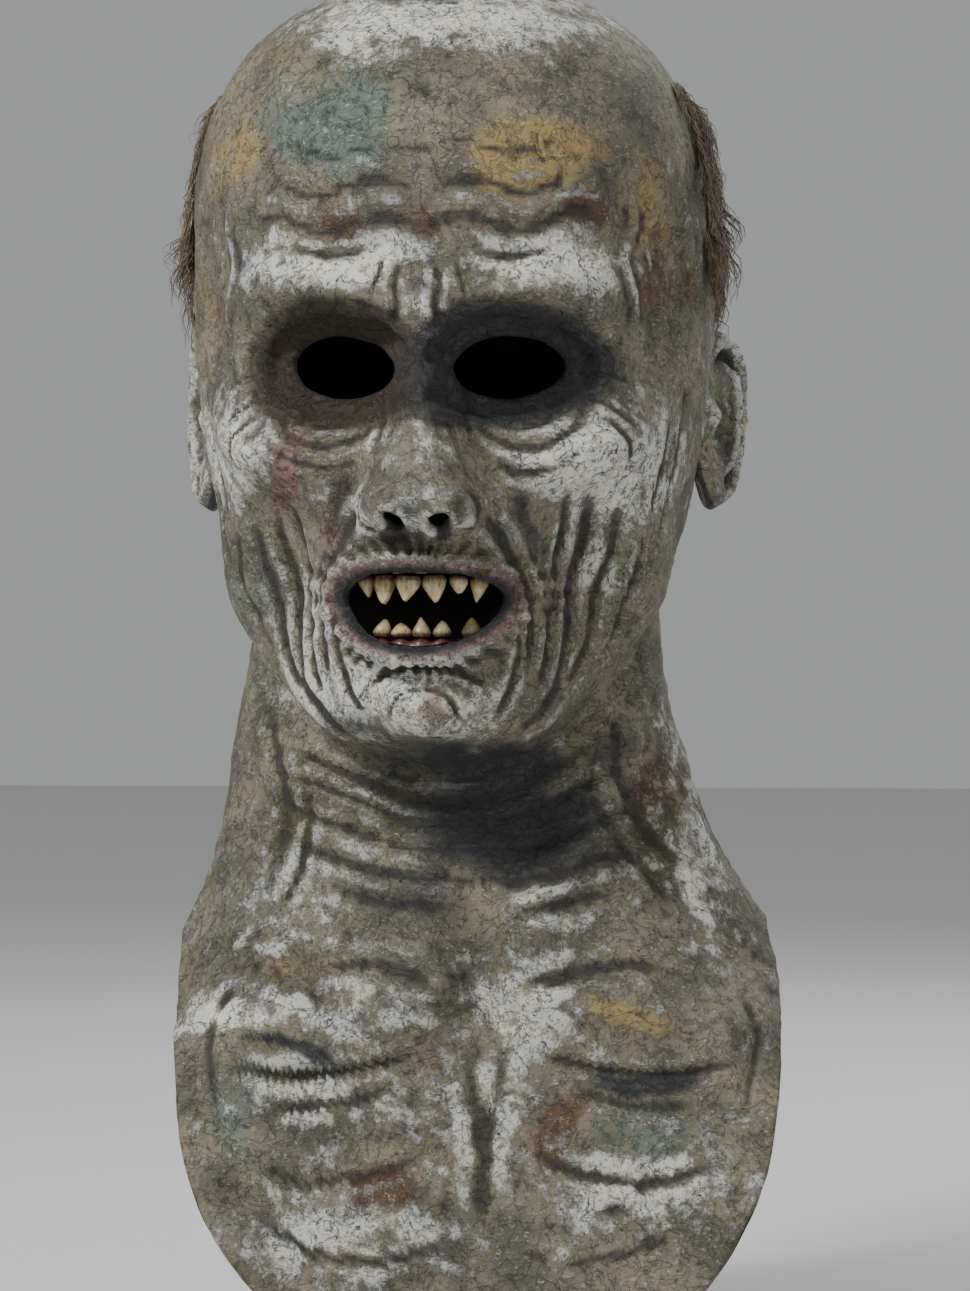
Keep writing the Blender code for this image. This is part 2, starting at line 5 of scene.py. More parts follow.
import bpy
import numpy as np
from mathutils import Euler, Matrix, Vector


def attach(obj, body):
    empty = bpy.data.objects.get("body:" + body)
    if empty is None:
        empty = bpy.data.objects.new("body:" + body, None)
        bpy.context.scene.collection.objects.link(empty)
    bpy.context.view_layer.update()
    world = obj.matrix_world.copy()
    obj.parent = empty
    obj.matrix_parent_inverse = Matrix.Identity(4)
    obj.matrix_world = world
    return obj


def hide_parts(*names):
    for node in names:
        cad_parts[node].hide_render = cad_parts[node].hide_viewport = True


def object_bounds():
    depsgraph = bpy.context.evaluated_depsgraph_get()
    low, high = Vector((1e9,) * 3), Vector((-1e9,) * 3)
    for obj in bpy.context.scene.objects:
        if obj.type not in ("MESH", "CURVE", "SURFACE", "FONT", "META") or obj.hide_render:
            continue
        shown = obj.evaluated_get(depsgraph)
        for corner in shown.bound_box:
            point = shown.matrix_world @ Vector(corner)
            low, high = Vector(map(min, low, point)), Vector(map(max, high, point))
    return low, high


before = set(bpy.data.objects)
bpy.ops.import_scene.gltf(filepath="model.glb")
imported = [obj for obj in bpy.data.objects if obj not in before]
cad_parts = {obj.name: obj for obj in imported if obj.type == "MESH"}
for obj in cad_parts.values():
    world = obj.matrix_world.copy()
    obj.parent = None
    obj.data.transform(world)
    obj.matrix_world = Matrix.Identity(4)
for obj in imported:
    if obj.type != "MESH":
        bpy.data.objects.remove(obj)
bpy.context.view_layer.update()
print("frame loaded")

# the photograph's camera: its width and height in pixels, the scale on the head's axis,
# and the column and row where that axis and the crown stand
photo = {
    "width": 970,
    "height": 1291,
    "metresPerPixel": 0.00035,
    "headAxisX": 455,
    "crownY": -3,
    "turn": math.radians(6),
    "distance": 1.5,
    "sensor": 36,
}


def placeCamera():
    side = Vector((math.cos(photo["turn"]), math.sin(photo["turn"]), 0))
    back = Vector((math.sin(photo["turn"]), -math.cos(photo["turn"]), 0))
    scale = photo["metresPerPixel"]
    across = (0.5 * photo["width"] - photo["headAxisX"]) * scale
    down = (0.5 * photo["height"] - photo["crownY"]) * scale
    made = bpy.data.cameras.new("photoCamera")
    made.sensor_width = photo["sensor"]
    made.lens = photo["sensor"] * photo["distance"] / (photo["height"] * scale)
    camera = bpy.data.objects.new("photoCamera", made)
    bpy.context.scene.collection.objects.link(camera)
    camera.location = side * across - Vector((0, 0, down)) + back * photo["distance"]
    camera.rotation_euler = (-back).to_track_quat("-Z", "Y").to_euler()
    bpy.context.scene.camera = camera
    return camera


camera = placeCamera()


# Photo pixels of points, worked out once from the fixed camera, to lay the paint patches and the painted shade where
# the photo has them.
def photoPlace(points):
    away = np.asarray(points) - np.array(camera.location)
    cos, sin = math.cos(photo["turn"]), math.sin(photo["turn"])
    across = away[..., 0] * cos + away[..., 1] * sin
    depth = away[..., 1] * cos - away[..., 0] * sin
    focal = photo["distance"] / photo["metresPerPixel"]
    x = 0.5 * photo["width"] + focal * across / depth
    y = 0.5 * photo["height"] - focal * away[..., 2] / depth
    return x, y


# skin: the same sizes as the model's, with the fineness of the visible mesh
skin = {
    "headHeight": 0.270,
    "headHalfWidth": 0.090,
    "faceDepth": 0.102,
    "backDepth": 0.112,
    "neckHalfWidth": 0.084,
    "neckFrontDepth": 0.054,
    "neckBackDepth": 0.080,
    "bibHalfWidth": 0.103,
    "bibReach": 0.104,
    "totalDrop": 0.465,
    "wall": 0.0025,
    "bibTurn": math.radians(6),
    "bibShift": 0.008,
    "equator": 0.36,
    "collarLevel": 1.067,
    "domePower": 2.6,
    "solidRows": 27,
    "columns": 288,
    "crownRows": 50,
    "faceRows": 130,
    "bibRows": 68,
    "hemWave": 0.0035,
    "hemDip": 0.0022,
}


def table(columns, rows):
    return dict(zip(columns.split(), np.array(rows, float).T))


headRows = table(
    "down width front back fullness",
    [
        (0.36, 1.00, 1.00, 1.00, 2.25),
        (0.44, 1.00, 0.99, 1.00, 2.30),
        (0.51, 0.98, 0.97, 0.98, 2.30),
        (0.59, 0.95, 0.95, 0.94, 2.25),
        (0.70, 0.89, 0.94, 0.86, 2.10),
        (0.79, 0.83, 0.94, 0.79, 2.00),
        (0.87, 0.76, 0.93, 0.73, 1.90),
        (0.94, 0.68, 0.90, 0.70, 1.85),
        (0.99, 0.62, 0.86, 0.68, 1.80),
        (1.07, 0.55, 0.79, 0.67, 1.80),
    ],
)
neckRows = table(
    "down width front back fullness",
    [
        (0.00, 0.74, 0.56, 1.00, 2.10),
        (0.56, 0.83, 0.74, 1.05, 2.10),
        (0.70, 0.83, 0.82, 1.00, 2.10),
        (0.87, 0.86, 0.89, 0.95, 2.10),
        (0.99, 0.94, 0.95, 0.96, 2.10),
        (1.07, 1.00, 1.00, 1.00, 2.10),
    ],
)
jawRows = table(
    "turn down softness",
    [
        (0, 0.985, 0.033),
        (25, 0.975, 0.033),
        (45, 0.930, 0.037),
        (65, 0.852, 0.045),
        (80, 0.774, 0.052),
        (95, 0.730, 0.067),
        (120, 0.711, 0.096),
        (150, 0.703, 0.118),
        (180, 0.696, 0.126),
    ],
)
hemRows = table(
    "turn across forward down",
    [
        (0, 0.00, 1.00, 1.000),
        (15, 0.46, 0.99, 0.985),
        (30, 0.78, 0.93, 0.930),
        (45, 0.94, 0.79, 0.860),
        (60, 0.99, 0.56, 0.796),
        (75, 1.00, 0.29, 0.742),
        (90, 0.98, 0.00, 0.700),
        (110, 0.89, -0.36, 0.674),
        (135, 0.67, -0.68, 0.690),
        (160, 0.34, -0.86, 0.716),
        (180, 0.00, -0.91, 0.722),
    ],
)
swellRows = table(
    "around down reachAround reachDown tilt power push",
    [
        (0.120, 0.422, 0.115, 0.036, -6, 2.4, 0.075),  # brow ridge
        (0.000, 0.432, 0.042, 0.038, 0, 2.0, 0.030),  # between the brows
        (0.128, 0.512, 0.094, 0.068, 6, 3.6, -0.185),  # eye socket
        (0.233, 0.612, 0.096, 0.041, -18, 2.4, 0.095),  # cheekbone
        (0.226, 0.755, 0.076, 0.088, -10, 2.2, -0.120),  # hollow cheek
        (0.000, 0.798, 0.128, 0.088, 0, 2.6, 0.075),  # muzzle
        (0.000, 0.756, 0.086, 0.018, 0, 2.4, 0.028),  # upper lip
        (0.000, 0.850, 0.080, 0.018, 0, 2.4, 0.034),  # lower lip
        (0.000, 0.884, 0.076, 0.018, 0, 2.0, -0.040),  # groove over the chin
        (0.000, 0.937, 0.070, 0.044, 0, 2.4, 0.085),  # chin
        (0.354, 0.415, 0.074, 0.110, 0, 2.2, -0.060),  # temple
        (0.400, 0.778, 0.090, 0.074, 20, 2.2, 0.050),  # jaw corner
        (0.126, 0.267, 0.098, 0.068, 0, 2.0, 0.030),  # forehead
        (0.050, 0.682, 0.024, 0.027, 0, 2.4, 0.068),  # nose wing
    ],
)
noseRows = table(
    "down height halfWidth",
    [
        (0.415, 0.00, 0.030),
        (0.455, 0.03, 0.028),
        (0.500, 0.08, 0.030),
        (0.545, 0.14, 0.035),
        (0.595, 0.20, 0.043),
        (0.640, 0.25, 0.054),
        (0.670, 0.26, 0.060),
        (0.692, 0.21, 0.063),
        (0.715, 0.07, 0.060),
        (0.735, 0.00, 0.052),
    ],
)
chestRows = table(
    "across1 down1 across2 down2 reach push",
    [
        (0.09, 0.735, 0.80, 0.760, 0.034, 0.055),  # collar bone
        (0.12, 0.790, 0.80, 0.815, 0.030, -0.035),  # hollow under the collar bone
        (0.60, 0.560, 0.10, 0.725, 0.026, 0.050),  # neck tendon
        (0.00, 0.640, 0.00, 0.745, 0.040, -0.060),  # throat hollow
    ],
)


def ease(low, high, value):
    share = np.clip((value - low) / (high - low), 0, 1)
    return share * share * (3 - 2 * share)


def smoothThrough(xs, ys, x):
    step = np.diff(xs)
    rise = np.diff(ys) / step
    slope = np.zeros_like(ys)
    slope[0], slope[-1] = rise[0], rise[-1]
    turning = rise[:-1] * rise[1:]
    sameWay = turning > 0
    slope[1:-1][sameWay] = 2 * turning[sameWay] / (rise[:-1] + rise[1:])[sameWay]
    x = np.clip(x, xs[0], xs[-1])
    at = np.clip(np.searchsorted(xs, x) - 1, 0, len(step) - 1)
    t = (x - xs[at]) / step[at]
    start = ys[at] * (1 + 2 * t) * (1 - t) ** 2 + step[at] * slope[at] * t * (1 - t) ** 2
    end = ys[at + 1] * t * t * (3 - 2 * t) + step[at] * slope[at + 1] * t * t * (t - 1)
    return start + end


def read(rows, column, key, x):
    return smoothThrough(rows[key], rows[column], x)


def fromFront(turn):
    return np.abs(np.arctan2(np.sin(turn), np.cos(turn)))


def sectionRadius(rows, turn, down, width, front, back):
    frontDepth = front * read(rows, "front", "down", down)
    rearDepth = back * read(rows, "back", "down", down)
    depth = np.where(np.cos(turn) > 0, frontDepth, rearDepth)
    fullness = read(rows, "fullness", "down", down)
    sideways = np.abs(np.sin(turn)) / (width * read(rows, "width", "down", down))
    lengthways = np.abs(np.cos(turn)) / depth
    return (sideways**fullness + lengthways**fullness) ** (-1 / fullness)


def faceRelief(turn, down):
    around = fromFront(turn) * skin["faceDepth"] / skin["headHeight"]
    push = np.zeros(np.broadcast(turn, down).shape)
    for swell in zip(*swellRows.values()):
        centreAround, centreDown, reachAround, reachDown, tilt, power, height = swell
        cos, sin = math.cos(math.radians(tilt)), math.sin(math.radians(tilt))
        beside, below = around - centreAround, down - centreDown
        u = (beside * cos + below * sin) / reachAround
        v = (below * cos - beside * sin) / reachDown
        push = push + height * np.exp(-((u * u + v * v) ** (power / 2)))
    ridge = (around / read(noseRows, "halfWidth", "down", down)) ** 2.6
    push = push + read(noseRows, "height", "down", down) * np.exp(-ridge)
    return push * skin["faceDepth"] * ease(0.02, 0.22, down)


def segmentDistance(x, z, start, end):
    run, fall = end[0] - start[0], end[1] - start[1]
    along = np.clip(((x - start[0]) * run + (z - start[1]) * fall) / (run * run + fall * fall), 0, 1)
    return np.hypot(x - start[0] - along * run, z - start[1] - along * fall), along


def chestRelief(points):
    push = np.zeros(points.shape[:-1])
    for across1, down1, across2, down2, reach, height in zip(*chestRows.values()):
        start = (across1 * skin["bibHalfWidth"], -down1 * skin["totalDrop"])
        end = (across2 * skin["bibHalfWidth"], -down2 * skin["totalDrop"])
        away, _ = segmentDistance(np.abs(points[..., 0]), points[..., 2], start, end)
        push = push + height * np.exp(-((away / (reach * skin["headHeight"])) ** 2))
    inFront = ease(0.1, 0.6, -points[..., 1] / np.hypot(points[..., 0], points[..., 1]))
    return push * skin["faceDepth"] * inFront


def plainPoints(turn, down):
    headSizes = [skin[size] for size in ("headHalfWidth", "faceDepth", "backDepth")]
    neckSizes = [skin[size] for size in ("neckHalfWidth", "neckFrontDepth", "neckBackDepth")]
    head = sectionRadius(headRows, turn, down, *headSizes)
    above = np.clip(1 - down / skin["equator"], 0, 1)
    head = head * (1 - above ** skin["domePower"]) ** (1 / skin["domePower"]) + faceRelief(turn, down)
    neck = sectionRadius(neckRows, turn, down, *neckSizes)
    degrees = np.degrees(fromFront(turn))
    line = read(jawRows, "down", "turn", degrees)
    softness = read(jawRows, "softness", "turn", degrees)
    radius = head + (neck - head) * ease(line - softness, line + softness, down)
    height = skin["wall"] - down * skin["headHeight"]
    return np.stack([radius * np.sin(turn), -radius * np.cos(turn), height + 0 * radius], -1), line


def settled(points):
    share = ease(0.52 * skin["totalDrop"], 0.74 * skin["totalDrop"], -points[..., 2])
    cos, sin = np.cos(skin["bibTurn"] * share), np.sin(skin["bibTurn"] * share)
    x, y = points[..., 0], points[..., 1]
    return np.stack([x * cos - y * sin + skin["bibShift"] * share, x * sin + y * cos, points[..., 2]], -1)


def pushedForward(points, share):
    points = points.copy()
    points[..., 1] -= chestRelief(points) * share
    return points


def skinPoints(turn, down):
    turn, down = np.broadcast_arrays(np.asarray(turn, float), np.asarray(down, float))
    plain, line = plainPoints(turn, down)
    return settled(pushedForward(plain, ease(line, line + 0.05, down)))


def bibPoints(turn, share):
    collar, _ = plainPoints(turn, np.full_like(turn, skin["collarLevel"]))
    degrees = np.degrees(fromFront(turn))
    across = read(hemRows, "across", "turn", degrees) * skin["bibHalfWidth"] * np.sign(np.sin(turn))
    forward = read(hemRows, "forward", "turn", degrees) * skin["bibReach"]
    drop = read(hemRows, "down", "turn", degrees) * skin["totalDrop"]
    hem = np.stack([across, -forward, skin["wall"] - drop], -1)
    control = collar + (hem - collar) * np.array([0.32, 0.32, 0.5])
    share = share[..., None]
    plain = (1 - share) ** 2 * collar + 2 * share * (1 - share) * control + share**2 * hem
    return settled(pushedForward(plain, 1.0))


def skinNormals(turn, down):
    step = 0.004
    across = skinPoints(turn + step, down) - skinPoints(turn - step, down)
    along = skinPoints(turn, down + step) - skinPoints(turn, down - step)
    normal = np.cross(along, across)
    return normal / np.linalg.norm(normal, axis=-1, keepdims=True)


# One value from -1 to 1 for each whole-number cell.
def lattice(cells, seed):
    mixed = cells[..., 0] * 73856093 ^ cells[..., 1] * 19349663 ^ cells[..., 2] * 83492791 ^ seed * 2654435761
    mixed = (mixed ^ (mixed >> 13)) * 1274126177 & 0xFFFFFFFF
    mixed = (mixed ^ (mixed >> 16)) & 0xFFFF
    return mixed / 32767.5 - 1


# Smooth lumps about as wide as size, from -1 to 1.
def noise(points, size, seed=0, octaves=3):
    total, weight, whole = 0, 1.0, 0.0
    for octave in range(octaves):
        at = points / size * 2**octave
        cell = np.floor(at).astype(np.int64)
        part = at - cell
        part = part * part * (3 - 2 * part)
        value = 0
        for corner in range(8):
            offset = np.array([corner & 1, corner >> 1 & 1, corner >> 2 & 1])
            share = np.prod(np.where(offset, part, 1 - part), axis=-1)
            value = value + lattice(cell + offset, seed + octave) * share
        total = total + value * weight
        whole += weight
        weight *= 0.5
    return total / whole


# openings, seen from the front: centre, half sizes, tilt in degrees, and how far the middle bends up
openingColumns = "x z halfWidth halfHeight tilt bend".split()
openings = {
    "eyeLeft": (0.0271, -0.1352, 0.0180, 0.0108, 5, 0.06),
    "eyeRight": (-0.0271, -0.1352, 0.0180, 0.0108, -5, 0.06),
    "mouth": (0.0, -0.2140, 0.0270, 0.0130, 0, -0.10),
    "nostrilLeft": (0.0074, -0.1868, 0.0040, 0.0026, 25, 0.0),
    "nostrilRight": (-0.0074, -0.1868, 0.0040, 0.0026, -25, 0.0),
}
openings = {name: dict(zip(openingColumns, row)) for name, row in openings.items()}


def howFar(points, hole):
    tilt = math.radians(hole["tilt"])
    x, z = points[..., 0] - hole["x"], points[..., 2] - hole["z"]
    u = (x * math.cos(tilt) + z * math.sin(tilt)) / hole["halfWidth"]
    v = (z * math.cos(tilt) - x * math.sin(tilt)) / hole["halfHeight"] - hole["bend"] * (1 - 2 * u * u)
    angle = np.arctan2(v, u)
    ragged = 1 + 0.03 * np.sin(3 * angle + 1) + 0.006 * np.sin(7 * angle)
    far = np.hypot(u, v) / ragged
    return np.where(points[..., 1] < -0.03, far, 9)


# creases of the face, in millimetres: across from the middle and down from the crown, drawn on both sides
faceCreases = [
    ("browFurrow", 1.3, 1.4, [(5, 101), (6.5, 108), (6, 116), (9, 123)]),
    ("browFurrow", 0.9, 1.2, [(11, 100), (13, 107), (14, 114)]),
    ("forehead", 0.9, 1.8, [(-2, 66), (14, 63), (30, 66), (48, 61)]),
    ("forehead", 1.2, 1.8, [(2, 78), (18, 75), (34, 79), (54, 73)]),
    ("forehead", 1.2, 1.7, [(-1, 89), (15, 87), (33, 91), (52, 85), (62, 88)]),
    ("forehead", 0.8, 1.4, [(16, 98), (30, 99), (46, 95)]),
    ("lidFold", 1.4, 1.5, [(13, 132), (20, 124), (32, 120), (45, 124), (54, 132)]),
    ("lidFold", 0.8, 1.2, [(16, 126), (26, 117), (40, 117), (52, 123)]),
    ("eyeBag", 1.5, 1.6, [(13, 142), (20, 151), (32, 155), (45, 152), (54, 143)]),
    ("eyeBag", 1.3, 1.6, [(14, 149), (22, 158), (34, 162), (48, 158), (58, 148)]),
    ("eyeBag", 0.9, 1.4, [(20, 164), (32, 169), (46, 166), (60, 156)]),
    ("crowFoot", 0.9, 1.1, [(56, 134), (65, 129), (76, 127)]),
    ("crowFoot", 1.0, 1.1, [(57, 138), (68, 137), (80, 140)]),
    ("crowFoot", 0.9, 1.1, [(57, 143), (67, 147), (77, 154)]),
    ("crowFoot", 0.7, 1.0, [(62, 151), (70, 158), (77, 167)]),
    ("noseSide", 1.0, 1.3, [(8, 128), (11, 140), (14, 153), (17, 166)]),
    ("noseBridge", 0.8, 1.0, [(-6, 128), (0, 130), (6, 128)]),
    ("noseBridge", 0.6, 0.9, [(-6, 134), (0, 136), (6, 134)]),
    ("nostrilWing", 1.4, 1.3, [(15, 175), (18.5, 180), (18, 187), (13, 190)]),
    ("smileFold", 2.6, 2.3, [(18, 181), (28, 191), (37, 206), (41, 222), (38, 238)]),
    ("smileFold", 1.3, 1.7, [(28, 182), (39, 196), (47, 214), (49, 232), (45, 246)]),
    ("mouthCorner", 1.5, 1.5, [(30, 214), (34, 226), (31, 240), (24, 250)]),
    ("chinFold", 1.5, 1.8, [(-2, 234), (10, 235), (22, 240)]),
    ("chinFold", 0.8, 1.3, [(0, 241), (9, 244), (14, 252)]),
    ("cheekDrape", 1.8, 2.0, [(54, 176), (58, 192), (55, 210), (50, 226), (47, 240)]),
    ("cheekDrape", 1.5, 1.8, [(66, 178), (69, 196), (64, 216), (57, 236), (50, 250)]),
    ("cheekDrape", 1.2, 1.7, [(80, 182), (80, 200), (73, 222), (63, 242)]),
    ("cheekDrape", 0.9, 1.5, [(94, 186), (92, 206), (82, 228)]),
    ("earFront", 1.2, 1.6, [(118, 140), (114, 160), (110, 182), (100, 200)]),
    ("earFront", 0.8, 1.3, [(106, 150), (104, 170), (98, 190)]),
    ("jowl", 1.4, 2.0, [(36, 256), (48, 250), (62, 238), (76, 222)]),
    ("vein", -0.9, 1.6, [(74, 74), (80, 88), (74, 100), (82, 114), (80, 128)]),
    ("vein", -0.7, 1.3, [(80, 88), (90, 96), (96, 108)]),
    ("vein", -0.6, 1.3, [(30, 40), (42, 52), (40, 66), (52, 78)]),
]
# creases of the neck and bib, in millimetres: across from the bib's middle and down from the crown
neckCreases = [
    ("throat", 1.6, 2.2, [(-8, 279), (12, 279), (34, 272), (52, 260)]),
    ("throat", 1.3, 2.0, [(-8, 288), (14, 287), (38, 279), (60, 268)]),
    ("throat", 1.5, 2.2, [(-6, 298), (16, 297), (40, 290), (64, 281)]),
    ("throat", 1.1, 1.9, [(2, 307), (20, 306), (42, 300), (62, 294)]),
    ("throat", 0.9, 1.7, [(10, 316), (28, 314), (48, 310)]),
    ("sideNeck", 1.2, 2.2, [(62, 240), (58, 262), (60, 284), (70, 306)]),
    ("sideNeck", 0.9, 2.0, [(50, 262), (49, 280), (56, 300), (68, 318)]),
    ("collar", 2.2, 2.4, [(20, 363), (40, 368), (62, 370), (84, 366)]),
    ("collar", 1.3, 2.0, [(26, 372), (48, 379), (70, 380)]),
    ("collar", 1.1, 2.0, [(12, 340), (36, 334), (62, 336)]),
    ("breast", 1.1, 2.6, [(2, 352), (4, 374), (0, 398), (5, 424)]),
    ("breast", 0.9, 2.4, [(14, 392), (34, 402), (58, 404), (80, 396)]),
    ("breast", 0.8, 2.4, [(10, 424), (30, 430), (52, 426), (70, 418)]),
    ("breast", 0.8, 2.0, [(84, 340), (90, 358), (86, 380)]),
]


# A smooth line through the corners.
def bentLine(corners, steps=7):
    corners = np.array(corners, float) * 0.001
    padded = np.vstack([2 * corners[0] - corners[1], corners, 2 * corners[-1] - corners[-2]])
    line = []
    for a, b, c, d in zip(padded, padded[1:], padded[2:], padded[3:]):
        for t in np.linspace(0, 1, steps, endpoint=False):
            squared = (2 * a - 5 * b + 4 * c - d) * t * t
            cubed = (3 * b - a - 3 * c + d) * t**3
            line.append(0.5 * (2 * b + (c - a) * t + squared + cubed))
    return np.array(line + [corners[-1]])


# Depth of all creases at each point, from the crease lists.
def carve(across, down, creases, points):
    carved = np.zeros(across.shape)
    wander = 0.0024 * noise(points, 0.026, 5, 2)
    for number, (_, depth, width, corners) in enumerate(creases):
        line = bentLine(corners)
        for side in (1, -1):
            jitter = 0.0012 * math.sin(number * 7.3 + side * 2)
            sideways = across * side + wander + jitter
            low, high = line.min(axis=0) - 0.009, line.max(axis=0) + 0.009
            near = (sideways > low[0]) & (sideways < high[0]) & (down > low[1]) & (down < high[1])
            if not near.any():
                continue
            x, z = sideways[near], down[near] + wander[near]
            best, place = np.full(x.shape, 1.0), np.zeros(x.shape)
            for step, (start, end) in enumerate(zip(line, line[1:])):
                away, along = segmentDistance(x, z, start, end)
                closer = away < best
                best[closer] = away[closer]
                place[closer] = (step + along[closer]) / (len(line) - 1)
            taper = np.clip(np.sin(np.pi * np.clip(place, 0.02, 0.98)) * 1.6, 0, 1)
            reach = 0.001 * width * (1 + 0.35 * math.sin(number * 5.1))
            banks = np.exp(-(((best - 2.1 * reach) / (1.1 * reach)) ** 2))  # the skin swells beside a crease
            groove = np.exp(-((best / reach) ** 2)) - 0.42 * banks
            strength = 0.86 + 0.14 * side * math.sin(number * 3.1)
            carved[near] -= 0.001 * depth * taper * groove * strength
    return carved


def skinTurns(columns):
    t = np.linspace(-1, 1, columns + 1)[:-1]
    return math.pi * (0.45 * t + 0.55 * t**3)


def gridNormals(grid):
    across = np.roll(grid, -1, axis=1) - np.roll(grid, 1, axis=1)
    along = np.gradient(grid, axis=0)
    normal = np.cross(along, across)
    return normal / np.maximum(np.linalg.norm(normal, axis=-1, keepdims=True), 1e-12)


def blurred(values, times):
    for _ in range(times):
        rows = np.vstack([values[:1], values, values[-1:]])
        values = (rows[:-2] + rows[1:-1] + rows[2:]) / 3
        values = (np.roll(values, 1, 1) + values + np.roll(values, -1, 1)) / 3
    return values


# Moves the grid's points next to an opening onto its edge, and says which quads stay.
def snapped(turns, levels):
    turn, level = np.broadcast_arrays(turns[None, :], levels[:, None])
    turn, level = turn.copy(), level.copy()
    points = skinPoints(turn, level)
    keep = np.ones((len(levels) - 1, len(turns)), bool)
    for hole in openings.values():
        far = howFar(points, hole)
        middle = (far[:-1] + far[1:] + np.roll(far, -1, 1)[:-1] + np.roll(far, -1, 1)[1:]) / 4
        inside = middle < 1
        keep &= ~inside
        touched = np.zeros(far.shape, bool)
        for shift in (0, 1):
            touched[:-1] |= np.roll(inside, shift, 1)
            touched[1:] |= np.roll(inside, shift, 1)
        stays = np.zeros(far.shape, bool)
        for shift in (0, 1):
            stays[:-1] |= np.roll(~inside, shift, 1)
            stays[1:] |= np.roll(~inside, shift, 1)
        edge = touched & stays & (far < 4)
        centre = np.unravel_index(np.argmin(far), far.shape)
        fromTurn, fromLevel = turn[centre], level[centre]
        edgeTurn, edgeLevel = turn[edge] - fromTurn, level[edge] - fromLevel
        low, high = np.full(edgeTurn.shape, 0.3), np.full(edgeTurn.shape, 2.2)
        for _ in range(14):
            half = 0.5 * (low + high)
            out = howFar(skinPoints(fromTurn + edgeTurn * half, fromLevel + edgeLevel * half), hole) > 1
            high = np.where(out, half, high)
            low = np.where(out, low, half)
        turn[edge] = fromTurn + edgeTurn * half
        level[edge] = fromLevel + edgeLevel * half
    return turn, level, keep


# cast relief of the latex, in metres
castRelief = {
    "swell": 0.0009,
    "lump": 0.00055,
    "grain": 0.0002,
    "crust": 0.0022,
    "lip": 0.0026,
    "lipPleat": 0.0007,
    "nostrilRim": 0.0008,
}
# rings round an eye hole: place in hole sizes, reach in hole sizes, push in metres
lidRings = [
    (1.10, 0.13, 0.0017),
    (1.42, 0.12, -0.0012),
    (1.66, 0.10, 0.0008),
    (1.88, 0.09, -0.0006),
]


# How far the cast detail stands off the smooth skin, and the part of it that is creases.
def detailHeight(points, turn):
    x, y, z = points[..., 0], points[..., 1], points[..., 2]
    signedTurn = np.arctan2(np.sin(turn), np.cos(turn))
    across = signedTurn * skin["faceDepth"]
    down = -z
    share = ease(0.52 * skin["totalDrop"], 0.74 * skin["totalDrop"], down)
    bibAcross = x - skin["bibShift"] * share - 0.09 * skin["bibTurn"] * share
    isFace = 1 - ease(0.235, 0.275, down - 0.02 * np.cos(signedTurn))
    front = ease(0.0, 0.35, np.cos(signedTurn))
    creases = carve(across, down, faceCreases, points) * isFace
    creases = creases + carve(bibAcross, down, neckCreases, points) * front * ease(0.235, 0.262, down)
    soft = noise(points, 0.022, 1, 3)
    lumps = noise(points, 0.0075, 2, 3)
    grain = noise(points * np.array([1, 1, 1.6]), 0.0032, 3, 2)
    crust = np.maximum(0, noise(points, 0.011, 9, 3) - 0.02)
    height = creases + castRelief["swell"] * soft + castRelief["lump"] * lumps + castRelief["grain"] * grain
    height = height + castRelief["crust"] * crust * (1 - 0.4 * isFace)
    lidded = 0
    for name, hole in openings.items():
        far = howFar(points, hole)
        if name.startswith("eye"):
            for place, reach, push in lidRings:
                lidded = lidded + push * np.exp(-(((far - place) / reach) ** 2))
            height = height * (1 - 0.6 * np.exp(-(((far - 1.0) / 0.25) ** 2)))
        elif name == "mouth":
            lip = np.exp(-(((far - 1.22) / 0.20) ** 2))
            angle = np.arctan2(z - hole["z"], x - hole["x"])
            pleats = np.sin(angle * 34 + 2 * np.sin(angle * 5))
            lidded = lidded + castRelief["lip"] * lip
            lidded = lidded + castRelief["lipPleat"] * pleats * np.exp(-(((far - 1.35) / 0.34) ** 2))
        else:
            lidded = lidded + castRelief["nostrilRim"] * np.exp(-(((far - 1.3) / 0.25) ** 2))
    return height + lidded, creases


def ringFaces(rows, columns, keep=None, flip=False, shift=0):
    r, c = np.meshgrid(np.arange(rows - 1), np.arange(columns), indexing="ij")
    after = (c + 1) % columns
    here, below = r * columns, (r + 1) * columns
    quads = np.stack([here + c, below + c, below + after, here + after], -1)
    if flip:
        quads = quads[..., ::-1]
    chosen = quads.reshape(-1, 4) if keep is None else quads[keep]
    return chosen + shift


# Edges that only one face uses, in that face's own direction.
def openEdges(faces):
    pairs = np.concatenate([faces[:, [i, (i + 1) % 4]] for i in range(4)])
    top = pairs.max() + 1
    code = pairs[:, 0] * top + pairs[:, 1]
    back = pairs[:, 1] * top + pairs[:, 0]
    return pairs[~np.isin(code, back)]


def makeObject(name, points, faces, materials, indices=None, smooth=True):
    mesh = bpy.data.meshes.new(name)
    corners = [list(map(int, face)) for face in faces]
    mesh.from_pydata(np.asarray(points, float).reshape(-1, 3).tolist(), [], corners)
    if smooth:
        mesh.shade_smooth()
    for used in materials:
        mesh.materials.append(used)
    if indices is not None:
        mesh.polygons.foreach_set("material_index", np.asarray(indices, np.int32))
    mesh.update()
    made = bpy.data.objects.new(name, mesh)
    bpy.context.scene.collection.objects.link(made)
    return made


def store(piece, name, values):
    layer = piece.data.attributes.new(name, "FLOAT", "POINT")
    layer.data.foreach_set("value", np.asarray(values, np.float32).ravel())
